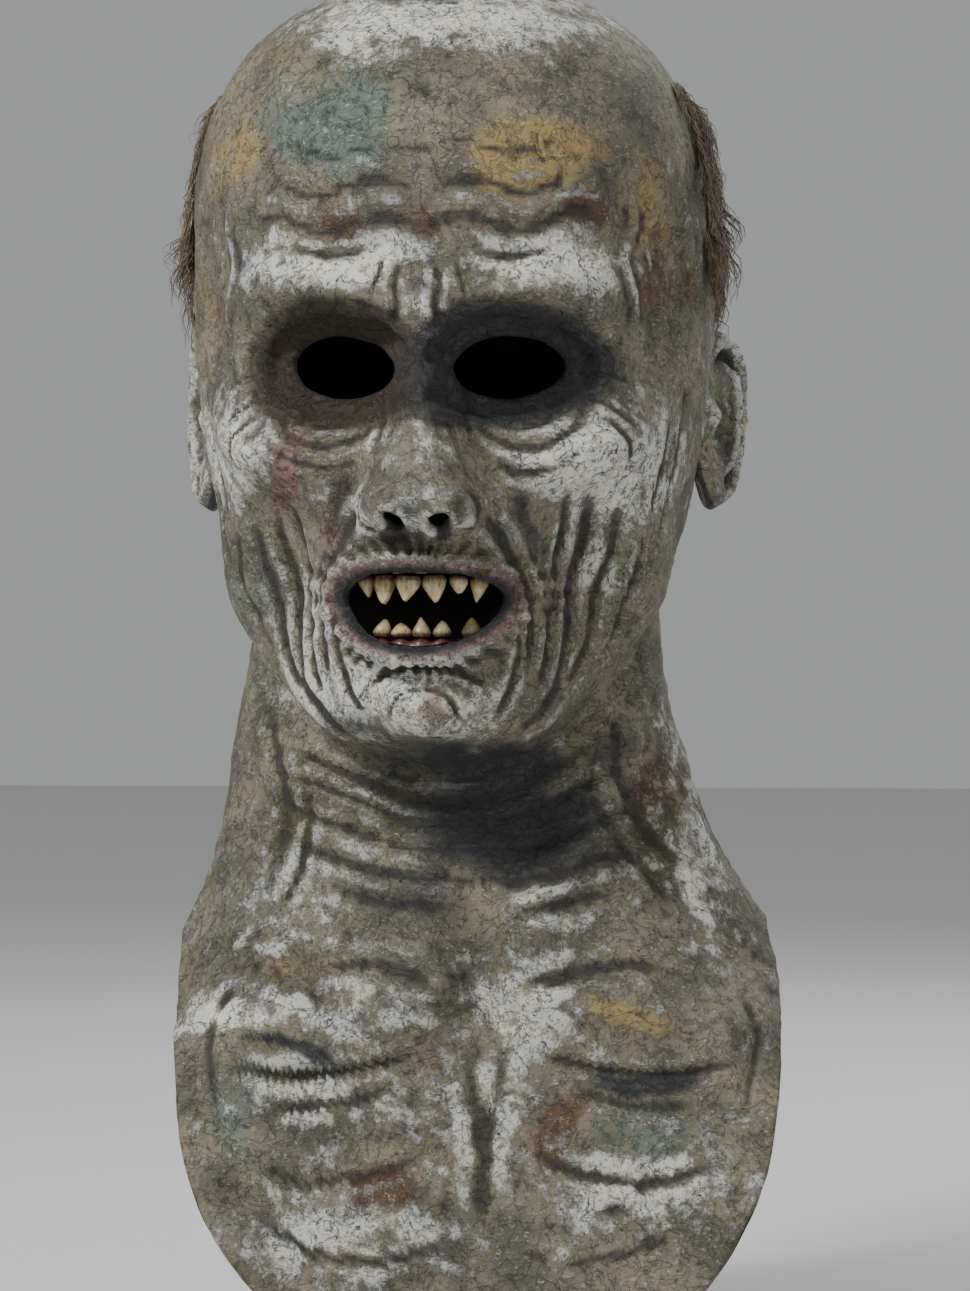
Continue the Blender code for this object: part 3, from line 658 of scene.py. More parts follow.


# paint patches and painted shade, charted over the photograph in its pixels:
# place across and down, reach across and down, tilt in degrees, strength
paintAndShadeChart = {
    "pale": [
        (450, 22, 170, 42, 0, 1.0),
        (335, 262, 95, 30, -4, 1.0),
        (560, 262, 85, 32, 6, 1.0),
        (430, 345, 40, 60, 0, 0.9),
        (425, 420, 50, 40, 0, 0.8),
        (600, 455, 80, 62, -12, 1.0),
        (235, 445, 52, 66, 10, 0.95),
        (400, 505, 70, 34, 0, 0.7),
        (370, 690, 95, 58, 0, 0.85),
        (470, 715, 60, 45, 0, 0.7),
        (345, 610, 40, 40, 0, 0.6),
        (590, 560, 40, 36, 0, 0.5),
        (225, 1018, 50, 22, 0, 1.0),
        (330, 1010, 90, 30, 4, 0.8),
        (300, 905, 80, 60, 0, 0.5),
        (520, 1010, 55, 60, 0, 0.8),
        (700, 880, 34, 90, -14, 0.7),
        (480, 1110, 60, 90, 0, 0.55),
        (300, 1090, 90, 40, 0, 0.6),
        (330, 1235, 120, 60, 0, 0.7),
        (640, 1185, 100, 50, -10, 0.7),
        (560, 925, 60, 40, 0, 0.5),
        (690, 760, 26, 70, -12, 0.6),
    ],
    "teal": [
        (330, 115, 95, 66, -20, 0.9),
        (430, 110, 70, 40, 0, 0.5),
        (245, 600, 34, 80, 10, 0.6),
        (600, 620, 60, 70, 0, 0.45),
        (620, 60, 50, 40, 0, 0.4),
        (340, 770, 60, 60, 0, 0.4),
        (600, 905, 80, 60, 0, 0.5),
        (235, 1115, 50, 70, 0, 0.7),
        (650, 1140, 80, 60, 0, 0.7),
        (400, 960, 70, 50, 0, 0.5),
        (690, 520, 30, 80, 0, 0.6),
    ],
    "ochre": [
        (540, 150, 78, 52, -18, 1.0),
        (245, 150, 40, 66, 20, 0.8),
        (300, 60, 60, 44, 30, 0.6),
        (655, 200, 44, 90, 0, 0.7),
        (615, 1022, 52, 20, 0, 0.8),
        (310, 965, 70, 40, 0, 0.6),
        (215, 300, 26, 80, 0, 0.6),
        (600, 660, 44, 40, 0, 0.4),
        (450, 40, 44, 24, 0, 0.3),
    ],
    "brown": [
        (440, 205, 170, 28, 0, 0.65),
        (325, 208, 34, 26, 10, 0.95),
        (585, 205, 34, 24, 0, 0.95),
        (425, 232, 26, 22, 0, 0.8),
        (665, 285, 34, 80, 0, 0.8),
        (225, 330, 26, 60, 0, 0.6),
        (280, 60, 40, 30, 30, 0.6),
        (390, 1175, 34, 40, 20, 1.0),
        (558, 1140, 34, 64, 20, 1.0),
        (660, 800, 34, 66, 0, 0.8),
        (630, 905, 28, 40, 0, 0.5),
        (300, 1180, 40, 30, 0, 0.4),
        (415, 1120, 30, 30, 0, 0.5),
        (690, 400, 24, 70, 0, 0.6),
    ],
    "moss": [
        (285, 830, 42, 52, 0, 1.0),
        (405, 815, 28, 56, 0, 1.0),
        (655, 850, 36, 60, 0, 0.9),
        (735, 925, 24, 44, -10, 0.9),
        (225, 250, 22, 60, 0, 0.6),
        (270, 760, 30, 40, 0, 0.6),
        (700, 820, 20, 60, -14, 0.5),
    ],
    "red": [
        (300, 470, 20, 74, 4, 1.0),
        (332, 540, 18, 60, 0, 0.7),
        (425, 700, 26, 22, 0, 0.8),
        (415, 742, 40, 16, 0, 0.7),
        (558, 585, 30, 60, 8, 0.7),
        (470, 612, 60, 16, 0, 0.6),
        (640, 660, 30, 50, -14, 0.5),
        (365, 640, 30, 40, 0, 0.4),
        (430, 1055, 44, 44, 0, 0.6),
        (720, 1000, 40, 40, 0, 0.4),
        (330, 900, 40, 40, 0, 0.3),
    ],
    # the dark entries are mostly painted shade: at the nostrils and beside the nose, under the jaw, down the middle
    # of the neck and under the collar bones
    "shadeAndDarkPaint": [
        (391, 522, 15, 13, 20, 0.9),
        (441, 522, 15, 13, -20, 0.9),
        (345, 500, 14, 60, 12, 0.6),
        (530, 520, 14, 60, -8, 0.6),
        (430, 300, 60, 10, 0, 0.5),
        (515, 835, 125, 74, 0, 0.85),
        (410, 905, 80, 40, 0, 0.5),
        (480, 770, 120, 34, 0, 0.8),
        (640, 1086, 74, 15, -3, 0.9),
        (285, 1052, 80, 12, 3, 0.8),
        (350, 730, 40, 40, 20, 0.5),
        (620, 740, 40, 50, -20, 0.5),
        (220, 1175, 30, 60, 0, 0.4),
    ],
}


# Where each colour and the painted shade lie: from the chart in front, and from soft lumps of noise behind.
def paintMasks(points, normals, turn, height, creases):
    photoX, photoY = photoPlace(points)
    facing = -(normals[..., 1] * math.cos(photo["turn"]) - normals[..., 0] * math.sin(photo["turn"]))
    front = ease(-0.1, 0.3, facing) * (points[..., 1] < 0.03)
    wander = 34 * noise(points, 0.026, 21, 3)
    wanderY = 34 * noise(points, 0.026, 27, 3)
    masks = {}
    for number, (kind, rows) in enumerate(paintAndShadeChart.items()):
        charted = np.zeros(photoX.shape)
        for x, y, reachX, reachY, tilt, strength in rows:
            cos, sin = math.cos(math.radians(tilt)), math.sin(math.radians(tilt))
            beside, below = photoX + wander - x, photoY + wanderY - y
            u = (beside * cos + below * sin) / reachX
            v = (below * cos - beside * sin) / reachY
            charted = np.maximum(charted, strength * np.exp(-((u * u + v * v) ** 1.3)))
        amount = {"pale": 0.55, "shadeAndDarkPaint": 0.1, "red": 0.2}.get(kind, 0.42)
        scattered = ease(0.05, 0.4, noise(points, 0.045, 40 + number, 3)) * amount
        masks[kind] = charted * front + scattered * (1 - front)
    down = -points[..., 2]
    # The eye sockets painted dark: the socket's own dark paint and painted shade in the deep socket; cream and ochre
    # kept off them.
    for name in ("eyeLeft", "eyeRight"):
        far = howFar(points, openings[name])
        socket = np.exp(-((far / 2.05) ** 5))
        masks["shadeAndDarkPaint"] = np.maximum(masks["shadeAndDarkPaint"], socket)
        masks["pale"] = masks["pale"] * (1 - 0.96 * socket)
        masks["ochre"] = masks["ochre"] * (1 - socket)
    fromMouth = howFar(points, openings["mouth"])
    masks["red"] = np.maximum(masks["red"], 0.9 * np.exp(-(((fromMouth - 1.15) / 0.2) ** 2)))
    # Dark round the mouth: the dark paint of the lips and painted shade going into the mouth.
    masks["shadeAndDarkPaint"] = np.maximum(masks["shadeAndDarkPaint"], np.exp(-((fromMouth / 1.16) ** 8)))
    masks["warmSocket"] = ease(0.005, -0.012, points[..., 0]) * (down < 0.2)
    # How sunk each point is in the cast; the latex paint darkens these hollows as painted shade.
    hollow = np.clip((blurred(height, 6) - height) / 0.0006, -1, 1.5)
    masks["cavity"] = np.clip(0.5 + 0.5 * hollow + np.clip(-creases / 0.0045, 0, 0.36), 0, 1)
    return masks


# The latex casting: a fine outer skin, rims round its openings and hem, and a coarser inner skin.
def makeSkin(materials):
    wall = skin["wall"]
    turns = skinTurns(skin["columns"])
    crown = skin["equator"] * (1 - np.cos(np.linspace(0, math.pi / 2, skin["crownRows"] + 1)[1:]))
    face = np.linspace(skin["equator"], skin["collarLevel"], skin["faceRows"] + 1)[1:]
    levels = np.concatenate([crown, face])
    shares = np.linspace(0, 1, skin["bibRows"] + 1)[1:]

    def layer(turns, levels, shares, depth):
        turn, level, keepHead = snapped(turns, levels)
        bibTurn, share = np.broadcast_arrays(turns[None, :], shares[:, None])
        grid = np.concatenate([skinPoints(turn, level), bibPoints(bibTurn, share)])
        allTurns = np.concatenate([turn, bibTurn])
        wobble = noise(np.stack([np.cos(bibTurn), np.sin(bibTurn), 0 * share], -1), 0.16, 31, 3)
        grid[len(levels):, :, 1] -= skin["hemWave"] * wobble * share**3
        grid[len(levels):, :, 2] += skin["hemDip"] * np.roll(wobble, 9, 1) * share**4
        normals = gridNormals(grid)
        height, creases = detailHeight(grid, allTurns)
        keep = np.concatenate([keepHead, np.ones((len(shares), len(turns)), bool)])
        inset = (height * (0.35 if depth else 1))[..., None] - depth
        return grid + normals * inset, normals, allTurns, height, creases, keep

    outer, normals, allTurns, height, creases, keep = layer(turns, levels, shares, 0)
    rows, columns = outer.shape[:2]
    innerLevels = np.append(levels[::2], levels[-1])
    inner, _, _, _, _, innerKeep = layer(turns[::2], innerLevels, shares[1::2], wall)
    masks = paintMasks(outer, normals, allTurns, height, creases)

    points = [outer.reshape(-1, 3), [[0, 0, wall + 0.0002]]]
    outerFaces = ringFaces(rows, columns, keep)
    faces = outerFaces.tolist()
    kinds = [0] * len(faces)
    crownIndex = rows * columns
    faces += [[c, (c + 1) % columns, crownIndex] for c in range(columns)]
    kinds += [0] * columns
    edges = openEdges(outerFaces)
    edges = edges[~((edges[:, 0] < columns) & (edges[:, 1] < columns))]
    rimPoints = np.unique(edges)
    base = crownIndex + 1
    insetIndex = {int(p): base + n for n, p in enumerate(rimPoints)}
    flatPoints, flatNormals = outer.reshape(-1, 3), normals.reshape(-1, 3)
    points.append(flatPoints[rimPoints] - flatNormals[rimPoints] * wall)
    faces += [[int(b), int(a), insetIndex[int(a)], insetIndex[int(b)]] for a, b in edges]
    kinds += [0] * len(edges)
    base += len(rimPoints)
    innerRows, innerColumns = inner.shape[:2]
    innerFaces = ringFaces(innerRows, innerColumns, innerKeep, True, base).tolist()
    points.append(inner.reshape(-1, 3))
    top = base + innerRows * innerColumns
    points.append([[0, 0, 0.0001]])
    innerFaces += [[base + (c + 1) % innerColumns, base + c, top] for c in range(innerColumns)]
    kinds += [1] * len(innerFaces)
    faces += innerFaces
    points = np.vstack([np.asarray(part, float) for part in points])
    piece = makeObject("latexSkin", points, faces, materials, kinds)
    extra = len(piece.data.vertices) - crownIndex
    for kind, values in masks.items():
        flat = values.ravel()
        tail = np.zeros(extra)
        tail[0] = flat[: columns].mean()
        tail[1 : 1 + len(rimPoints)] = flat[rimPoints]
        store(piece, kind, np.concatenate([flat, tail]))
    return piece


# ears: sizes as in the model, with the folds of the shell
ear = {
    "height": 0.064,
    "width": 0.038,
    "thickness": 0.015,
    "flare": math.radians(16),
    "lean": math.radians(9),
    "sink": 0.002,
    "level": 0.556,
    "turn": math.radians(99),
    "rings": 44,
    "spokes": 96,
    "helix": 0.0050,
    "groove": 0.0026,
    "innerFold": 0.0036,
    "bowl": 0.0065,
    "flap": 0.0045,
    "lobe": 0.0024,
    "frontDome": 0.0045,
    "backDome": 0.0050,
    "roughness": 0.0009,
    "fineRoughness": 0.0004,
}


def makeEar(name, side, materials):
    root = (side * ear["turn"], ear["level"])
    place = skinPoints(*root) - skinNormals(*root) * ear["sink"]
    place = place + np.array([side * 0.30 * ear["thickness"], 0.18 * ear["width"], 0])
    turned = np.array(Euler((-ear["lean"], 0, -side * ear["flare"])).to_matrix())
    spokes, rings = ear["spokes"], ear["rings"]
    angle = np.linspace(0, 2 * math.pi, spokes, endpoint=False)[None, :]
    share = np.linspace(0, 1, rings + 1)[1:, None]
    # angle 0 points to the back of the head, a quarter turn points up
    lobeNotch = 1 - 0.16 * np.exp(-(((angle - 4.3) / 0.5) ** 2))
    wide = 0.5 * ear["width"] * (1 + 0.10 * np.sin(angle)) * lobeNotch
    tall = 0.5 * ear["height"]
    back = wide * np.cos(angle) * share
    up = tall * np.sin(angle) * share * (1 + 0.04 * np.cos(angle))
    rearward = ease(-0.85, -0.1, np.cos(angle)) + 0 * share
    lobe = np.exp(-(((angle - 4.55) / 0.55) ** 2)) + 0 * share
    helix = ear["helix"] * np.exp(-(((share - 0.88) / 0.085) ** 2)) * rearward * (1 - 0.75 * lobe)
    groove = -ear["groove"] * np.exp(-(((share - 0.72) / 0.07) ** 2)) * rearward * (1 - lobe)
    inner = ear["innerFold"] * np.exp(-(((share - 0.56) / 0.075) ** 2)) * ease(-0.2, 0.5, np.cos(angle)) * (1 - lobe)
    shell = -ear["bowl"] * np.exp(-(((np.hypot(back + 0.002, 0.72 * up)) / 0.0078) ** 3))
    flap = ear["flap"] * np.exp(-(((back + 0.0105) / 0.0036) ** 2 + ((up + 0.001) / 0.0058) ** 2))
    soft = ear["lobe"] * lobe * np.exp(-(((share - 0.72) / 0.25) ** 2))
    local = np.stack([back, up, 0 * back], -1)
    rough = ear["roughness"] * noise(local + 3 * side, 0.007, 14, 3)
    rough = rough + ear["fineRoughness"] * noise(local, 0.0028, 15, 2)
    dome = ear["frontDome"] * np.sqrt(np.clip(1 - share**2.6, 0, 1))
    front = helix + groove + inner + shell + flap + soft + rough + dome
    behind = -ear["backDome"] * np.sqrt(np.clip(1 - share**3, 0, 1)) + 0.5 * rough + np.minimum(0, shell) * 0.8
    cavity = np.clip(0.5 - (blurred(front - blurred(front, 10), 1)) / 0.0014, 0, 1)

    def placed(height):
        flat = np.stack([side * height, back, up], -1).reshape(-1, 3)
        return flat @ turned.T + place

    count = rings * spokes
    frontPoints, behindPoints = placed(front), placed(behind)
    middles = [frontPoints[:spokes].mean(0), behindPoints[:spokes].mean(0)]
    points = np.vstack([frontPoints, behindPoints, middles])
    flip = side < 0
    faces = ringFaces(rings, spokes, None, flip).tolist()
    faces += ringFaces(rings, spokes, None, not flip, count).tolist()
    for c in range(spokes):
        after = (c + 1) % spokes
        triangle = [after, c, 2 * count]
        faces.append(triangle if not flip else triangle[::-1])
        triangle = [count + c, count + after, 2 * count + 1]
        faces.append(triangle if not flip else triangle[::-1])
        last = (rings - 1) * spokes
        rim = [last + c, count + last + c, count + last + after, last + after]
        faces.append(rim if not flip else rim[::-1])
    piece = makeObject(name, points, faces, materials[:1])
    worn = ease(0.1, 0.5, noise(points, 0.012, 51, 2) * 0.5 + 0.35)
    hollow = np.concatenate([cavity.ravel(), np.full(count, 0.5), [0.9, 0.5]])
    store(piece, "cavity", hollow)
    store(piece, "pale", 0.45 * worn)
    store(piece, "teal", 0.55 * (1 - worn))
    store(piece, "ochre", 0.35 * worn)
    store(piece, "brown", 0.5 * (1 - worn))
    store(piece, "moss", 0.0 * worn)
    store(piece, "red", 0.25 * (1 - worn))
    # Painted shade in the ear's hollows.
    store(piece, "shadeAndDarkPaint", np.clip(hollow * 1.2 - 0.6, 0, 0.7))
    store(piece, "warmSocket", 0.0 * worn)
    return piece


# gums and teeth: sizes and places as in the model
jaw = {
    "mouthLevel": 0.802,
    "mouthHeight": 0.026,
    "gumHeight": 0.009,
    "gumDepth": 0.007,
    "gumHalfArc": math.radians(17),
    "gumGap": 0.0006,
    "seatGap": 0.0003,
    "toothWidth": 0.0072,
    "toothDepth": 0.005,
    "upperLength": 0.0095,
    "lowerLength": 0.0065,
}
teethRows = {
    "upper": [
        (-0.0800, 0.82, 0.74, -6),
        (-0.0515, 0.94, 1.00, -2),
        (-0.0185, 1.22, 0.90, 3),
        (0.0160, 1.10, 0.95, -2),
        (0.0465, 0.85, 0.62, 5),
        (0.0745, 0.90, 0.92, 7),
    ],
    "lower": [
        (-0.0630, 0.86, 0.90, 4),
        (-0.0345, 0.92, 0.70, -3),
        (-0.0045, 0.86, 1.00, 2),
        (0.0235, 0.80, 0.80, -4),
        (0.0655, 0.90, 0.95, -5),
    ],
}


def gumLevels(name):
    height = jaw["gumHeight"] / skin["headHeight"]
    halfMouth = 0.5 * jaw["mouthHeight"] / skin["headHeight"]
    shown = 0.28 * height
    if name == "upper":
        edge = jaw["mouthLevel"] - halfMouth + shown
        return edge - height, edge
    edge = jaw["mouthLevel"] + halfMouth - shown
    return edge, edge + height


def gumFace(turns, name):
    top, bottom = gumLevels(name)
    levels = np.linspace(skin["equator"], skin["collarLevel"], skin["solidRows"] + 1)[1:]
    row = levels[1] - levels[0]
    levels = levels[(levels > top - row) & (levels < bottom + row)]
    columns = np.linspace(-0.9, 0.9, 61)
    rings = []
    for level in levels:
        inside = skinPoints(columns, level) - skinNormals(columns, level) * skin["wall"]
        around = np.arctan2(inside[:, 0], -inside[:, 1])
        rings.append(np.interp(turns, around, np.hypot(inside[:, 0], inside[:, 1])))
    return np.min(rings, axis=0) - jaw["gumGap"]


def makeGum(name, material):
    top, bottom = gumLevels(name)
    spans, sides = 150, 22
    turns = np.linspace(-jaw["gumHalfArc"], jaw["gumHalfArc"], spans)
    face = gumFace(turns, name)
    middle = skin["wall"] - 0.5 * (top + bottom) * skin["headHeight"]
    toothSide = -1 if name == "upper" else 1
    centres = np.array([row[0] for row in teethRows[name]]) * skin["headHeight"] / skin["faceDepth"]
    widths = np.array([row[1] for row in teethRows[name]]) * jaw["toothWidth"] / skin["faceDepth"]
    root = np.max(np.exp(-(((turns[:, None] - centres) / (0.42 * widths)) ** 2)), axis=1)
    angle = np.linspace(0, 2 * math.pi, sides, endpoint=False)
    cos, sin = np.cos(angle), np.sin(angle)
    boxed = (np.abs(cos) ** 3 + np.abs(sin) ** 3) ** (-1 / 3)
    ends = np.clip(1 - np.abs(np.linspace(-1, 1, spans)) ** 14, 0.02, 1)
    depth = 0.5 * jaw["gumDepth"] * (0.80 + 0.19 * root) * ends
    inward = face[:, None] - 0.5 * jaw["gumDepth"] + depth[:, None] * cos * boxed
    tall = 0.5 * jaw["gumHeight"] * ends[:, None] * sin * boxed
    towards = np.clip(sin * toothSide, 0, 1)[None, :]
    tall = tall - toothSide * towards * 0.0014 * (1 - root[:, None]) * (cos > -0.2)
    x, y = inward * np.sin(turns)[:, None], -inward * np.cos(turns)[:, None]
    grid = np.stack([x, y, middle + tall], -1)
    grid += 0.00025 * noise(grid, 0.0035, 61, 2)[..., None] * np.array([0, -1, 0])
    lastRing = (spans - 1) * sides
    faces = ringFaces(spans, sides).tolist()
    faces += [list(range(sides)), list(range(lastRing, lastRing + sides))[::-1]]
    return makeObject(f"{name}GumFlesh", grid, faces, [material])


def makeTooth(name, number, row, material):
    around, wide, long, lean = row
    pointsDown = name == "upper"
    top, bottom = gumLevels(name)
    edge = skin["wall"] - (bottom if pointsDown else top) * skin["headHeight"]
    turn = around * skin["headHeight"] / skin["faceDepth"]
    lean = math.radians(lean)
    width = jaw["toothWidth"] * wide
    depth = jaw["toothDepth"]
    length = long * (jaw["upperLength"] if pointsDown else jaw["lowerLength"])
    radius = gumFace(np.array([turn]), name)[0] - 0.5 * jaw["gumDepth"]
    lift = jaw["seatGap"] + 0.5 * length * math.cos(lean) + 0.5 * width * abs(math.sin(lean))
    height = edge - lift if pointsDown else edge + lift
    rows, sides = 26, 28
    share = np.linspace(0, 1, rows)[:, None]
    angle = np.linspace(0, 2 * math.pi, sides, endpoint=False)[None, :]
    sharp = 0.5 + 0.5 * math.sin(number * 2.3 + (0 if pointsDown else 1))
    taper = (1 - share ** (1.5 + 0.9 * (1 - sharp))) ** (0.72 + 0.2 * sharp)
    taper = 0.06 + 0.94 * taper * (1 + 0.10 * np.sin(math.pi * np.clip(share * 1.6, 0, 1)))
    neck = 0.86 + 0.14 * ease(0.0, 0.22, share)
    ridged = 1 + 0.018 * np.sin(angle * 5 + number) * (1 - share)
    x = 0.5 * width * np.cos(angle) * taper * neck * ridged
    y = 0.5 * depth * np.sin(angle) * (0.25 + 0.75 * taper) * neck * ridged
    x = x + 0.0006 * math.sin(number * 1.7) * share**2
    y = y + 0.0008 * share**2
    z = length * (share - 0.5) + 0 * angle
    grid = np.stack([x, y, z], -1)
    grid[-1] = grid[-1] * np.array([0.3, 0.3, 1])
    chips = noise(grid + number, 0.0022, 71, 2)
    grid[..., :2] *= (1 + 0.05 * chips)[..., None]
    turned = np.array(Euler((math.pi if pointsDown else 0, lean, turn)).to_matrix())
    seat = np.array([radius * math.sin(turn), -radius * math.cos(turn), height])
    placed = grid.reshape(-1, 3) @ turned.T + seat
    faces = ringFaces(rows, sides, None, True).tolist()
    faces += [list(range(sides))[::-1], [(rows - 1) * sides + s for s in range(sides)]]
    tooth = makeObject(f"tooth{name.capitalize()}{number}Enamel", placed, faces, [material])
    store(tooth, "rootward", np.repeat(1 - share.ravel(), sides))
    return tooth


# hair: where the mats lie, in degrees round and shares of the head down, and how their strands grow
hair = {
    "gap": 0.0008,
    "thickness": 0.0016,
    "bunch": 16,
    "strandRadius": 0.00020,
    "strandSteps": 7,
    "strandLength": (0.010, 0.026),
    "strandLift": (0.0006, 0.0042),
    "flyaway": 0.009,
    "flyawayShare": 0.07,
    "freeShare": 0.14,
    "strandSides": 3,
    "mats": {
        "hair_left": (74, 121, 0.130, 0.400, 1500),
        "hair_back": (123, 237, 0.190, 0.680, 4000),
        "hair_right": (239, 286, 0.130, 0.400, 1500),
    },
}


def makeHair(node, seed, material):
    start, end, top, bottom, count = hair["mats"][node]
    draw = np.random.default_rng(seed)
    columns = int(end - start)
    rows = int((bottom - top) * 150)
    turns = np.radians(np.linspace(start + 5, end - 3, columns))[None, :]
    share = np.linspace(0, 1, rows)[:, None]
    ragged = noise(np.stack([turns * 10, 0 * turns, 0 * turns], -1), 0.5, seed, 3)
    levels = top + (bottom - top) * (0.5 + (share - 0.5) * (0.86 + 0.26 * ragged))
    turns = turns + 0 * share
    scalp, normals = skinPoints(turns, levels), skinNormals(turns, levels)
    across = np.linspace(-1, 1, columns)[None, :]
    border = (1 - np.abs(across) ** 8) * (1 - np.abs(2 * share - 1) ** 8)
    streak = noise(scalp * np.array([1, 1, 0.22]), 0.0045, seed + 1, 3)
    felt = border * np.clip(0.55 + 0.9 * streak, 0.0, 1.3)
    outer = scalp + normals * (hair["gap"] + hair["thickness"] * felt)[..., None]
    inner = scalp + normals * 0.0004
    points = [outer.reshape(-1, 3), inner.reshape(-1, 3)]
    shift = rows * columns
    corner = (np.arange(rows - 1)[:, None] * columns + np.arange(columns - 1)[None, :]).ravel()
    quads = np.stack([corner, corner + columns, corner + columns + 1, corner + 1], -1)
    faces = quads.tolist() + (quads[:, ::-1] + shift).tolist()
    edge = list(range(columns)) + [r * columns + columns - 1 for r in range(1, rows)]
    edge += [(rows - 1) * columns + c for c in range(columns - 2, -1, -1)]
    edge += [r * columns for r in range(rows - 2, 0, -1)]
    faces += [[a, b, b + shift, a + shift][::-1] for a, b in zip(edge, edge[1:] + edge[:1])]
    base = 2 * shift
    steps, sides = hair["strandSteps"], hair["strandSides"]
    rootTurn = np.radians(draw.uniform(start, end, count))
    rootLevel = draw.uniform(top, bottom - 0.03, count)
    clump = noise(np.stack([rootTurn * 3, rootLevel * 9, 0 * rootTurn], -1), 0.22, seed + 2, 2)
    length = draw.uniform(*hair["strandLength"], count) * (1 + 0.5 * clump)
    lift = draw.uniform(*hair["strandLift"], count)
    lift = lift + hair["flyaway"] * (draw.random(count) > 1 - hair["flyawayShare"]) * draw.random(count)
    bunch = np.arange(count) // hair["bunch"] * hair["bunch"]
    free = draw.random(count) > 1 - hair["freeShare"]
    rootTurn = np.where(free, rootTurn, rootTurn[bunch] + draw.normal(0, 0.014, count))
    rootLevel = np.where(free, rootLevel, rootLevel[bunch] + draw.normal(0, 0.006, count))
    length = np.where(free, length, length[bunch] * draw.uniform(0.7, 1.1, count))
    lean = 0.5 * clump + draw.normal(0, 0.45, count)
    lean = np.where(free, lean, lean[bunch] + draw.normal(0, 0.10, count))
    lift = np.where(free, lift, lift[bunch] * draw.uniform(0.6, 1.2, count))
    curl = draw.normal(0, 0.0016, count)
    phase = draw.uniform(0, 6.28, count)
    along = np.linspace(0, 1, steps)[None, :]
    headHeight = skin["headHeight"]
    level = rootLevel[:, None] + along * (length * np.cos(lean))[:, None] / headHeight
    turn = rootTurn[:, None] + along * (length * np.sin(lean))[:, None] / 0.1
    turn = turn + curl[:, None] * np.sin(along * 7 + phase[:, None]) / 0.1
    waves = 0.0012 * np.sin(along * 9 + phase[:, None]) * along
    rise = hair["gap"] + lift[:, None] * np.sin(along * 2.2) + waves
    path = skinPoints(turn, level) + skinNormals(turn, level) * np.maximum(rise, 0.0005)[..., None]
    forward = np.gradient(path, axis=1)
    forward /= np.linalg.norm(forward, axis=-1, keepdims=True)
    sidewise = np.cross(forward, skinNormals(turn, level))
    sidewise /= np.linalg.norm(sidewise, axis=-1, keepdims=True)
    upward = np.cross(sidewise, forward)
    thin = hair["strandRadius"] * draw.uniform(0.7, 1.5, count)[:, None] * (1.05 - 0.8 * along)
    for s in range(sides):
        angle = 2 * math.pi * s / sides
        ring = path + (sidewise * math.cos(angle) + upward * math.sin(angle)) * thin[..., None]
        points.append(ring.reshape(-1, 3))
    block = count * steps
    root = (np.arange(count)[:, None] * steps + np.arange(steps - 1)[None, :]).ravel()
    for s in range(sides):
        here, after = base + s * block, base + (s + 1) % sides * block
        strip = np.stack([here + root, here + root + 1, after + root + 1, after + root], -1)
        faces += strip.tolist()
    first = np.arange(count) * steps
    for at in (0, steps - 1):
        cap = np.stack([base + s * block + first + at for s in range(sides)], -1)
        faces += (cap if at == 0 else cap[:, ::-1]).tolist()
    piece = makeObject(f"{node}_strands", np.vstack(points), faces, [material])
    shade = draw.random(count)
    tone = np.concatenate([np.full(2 * shift, 0.35)] + [np.repeat(shade, steps)] * sides)
    store(piece, "strandTone", tone)
    return piece


# A shader value: sums and products of these add Math nodes.
class Val:
    def __init__(self, paint, socket):
        self.paint, self.socket = paint, socket

    def calc(self, operation, a, b=0.0):
        return self.paint.node("ShaderNodeMath", {"operation": operation}, {0: a, 1: b})

    def __add__(self, other):
        return self.calc("ADD", self, other)

    def __radd__(self, other):
        return self.calc("ADD", other, self)

    def __sub__(self, other):
        return self.calc("SUBTRACT", self, other)

    def __rsub__(self, other):
        return self.calc("SUBTRACT", other, self)

    def __mul__(self, other):
        return self.calc("MULTIPLY", self, other)

    def __rmul__(self, other):
        return self.calc("MULTIPLY", other, self)

    # 0 below low, 1 above high, smooth between.
    def rise(self, low, high):
        settings = {"interpolation_type": "SMOOTHSTEP"}
        limits = {"Value": self, "From Min": low, "From Max": high}
        return self.paint.node("ShaderNodeMapRange", settings, limits)


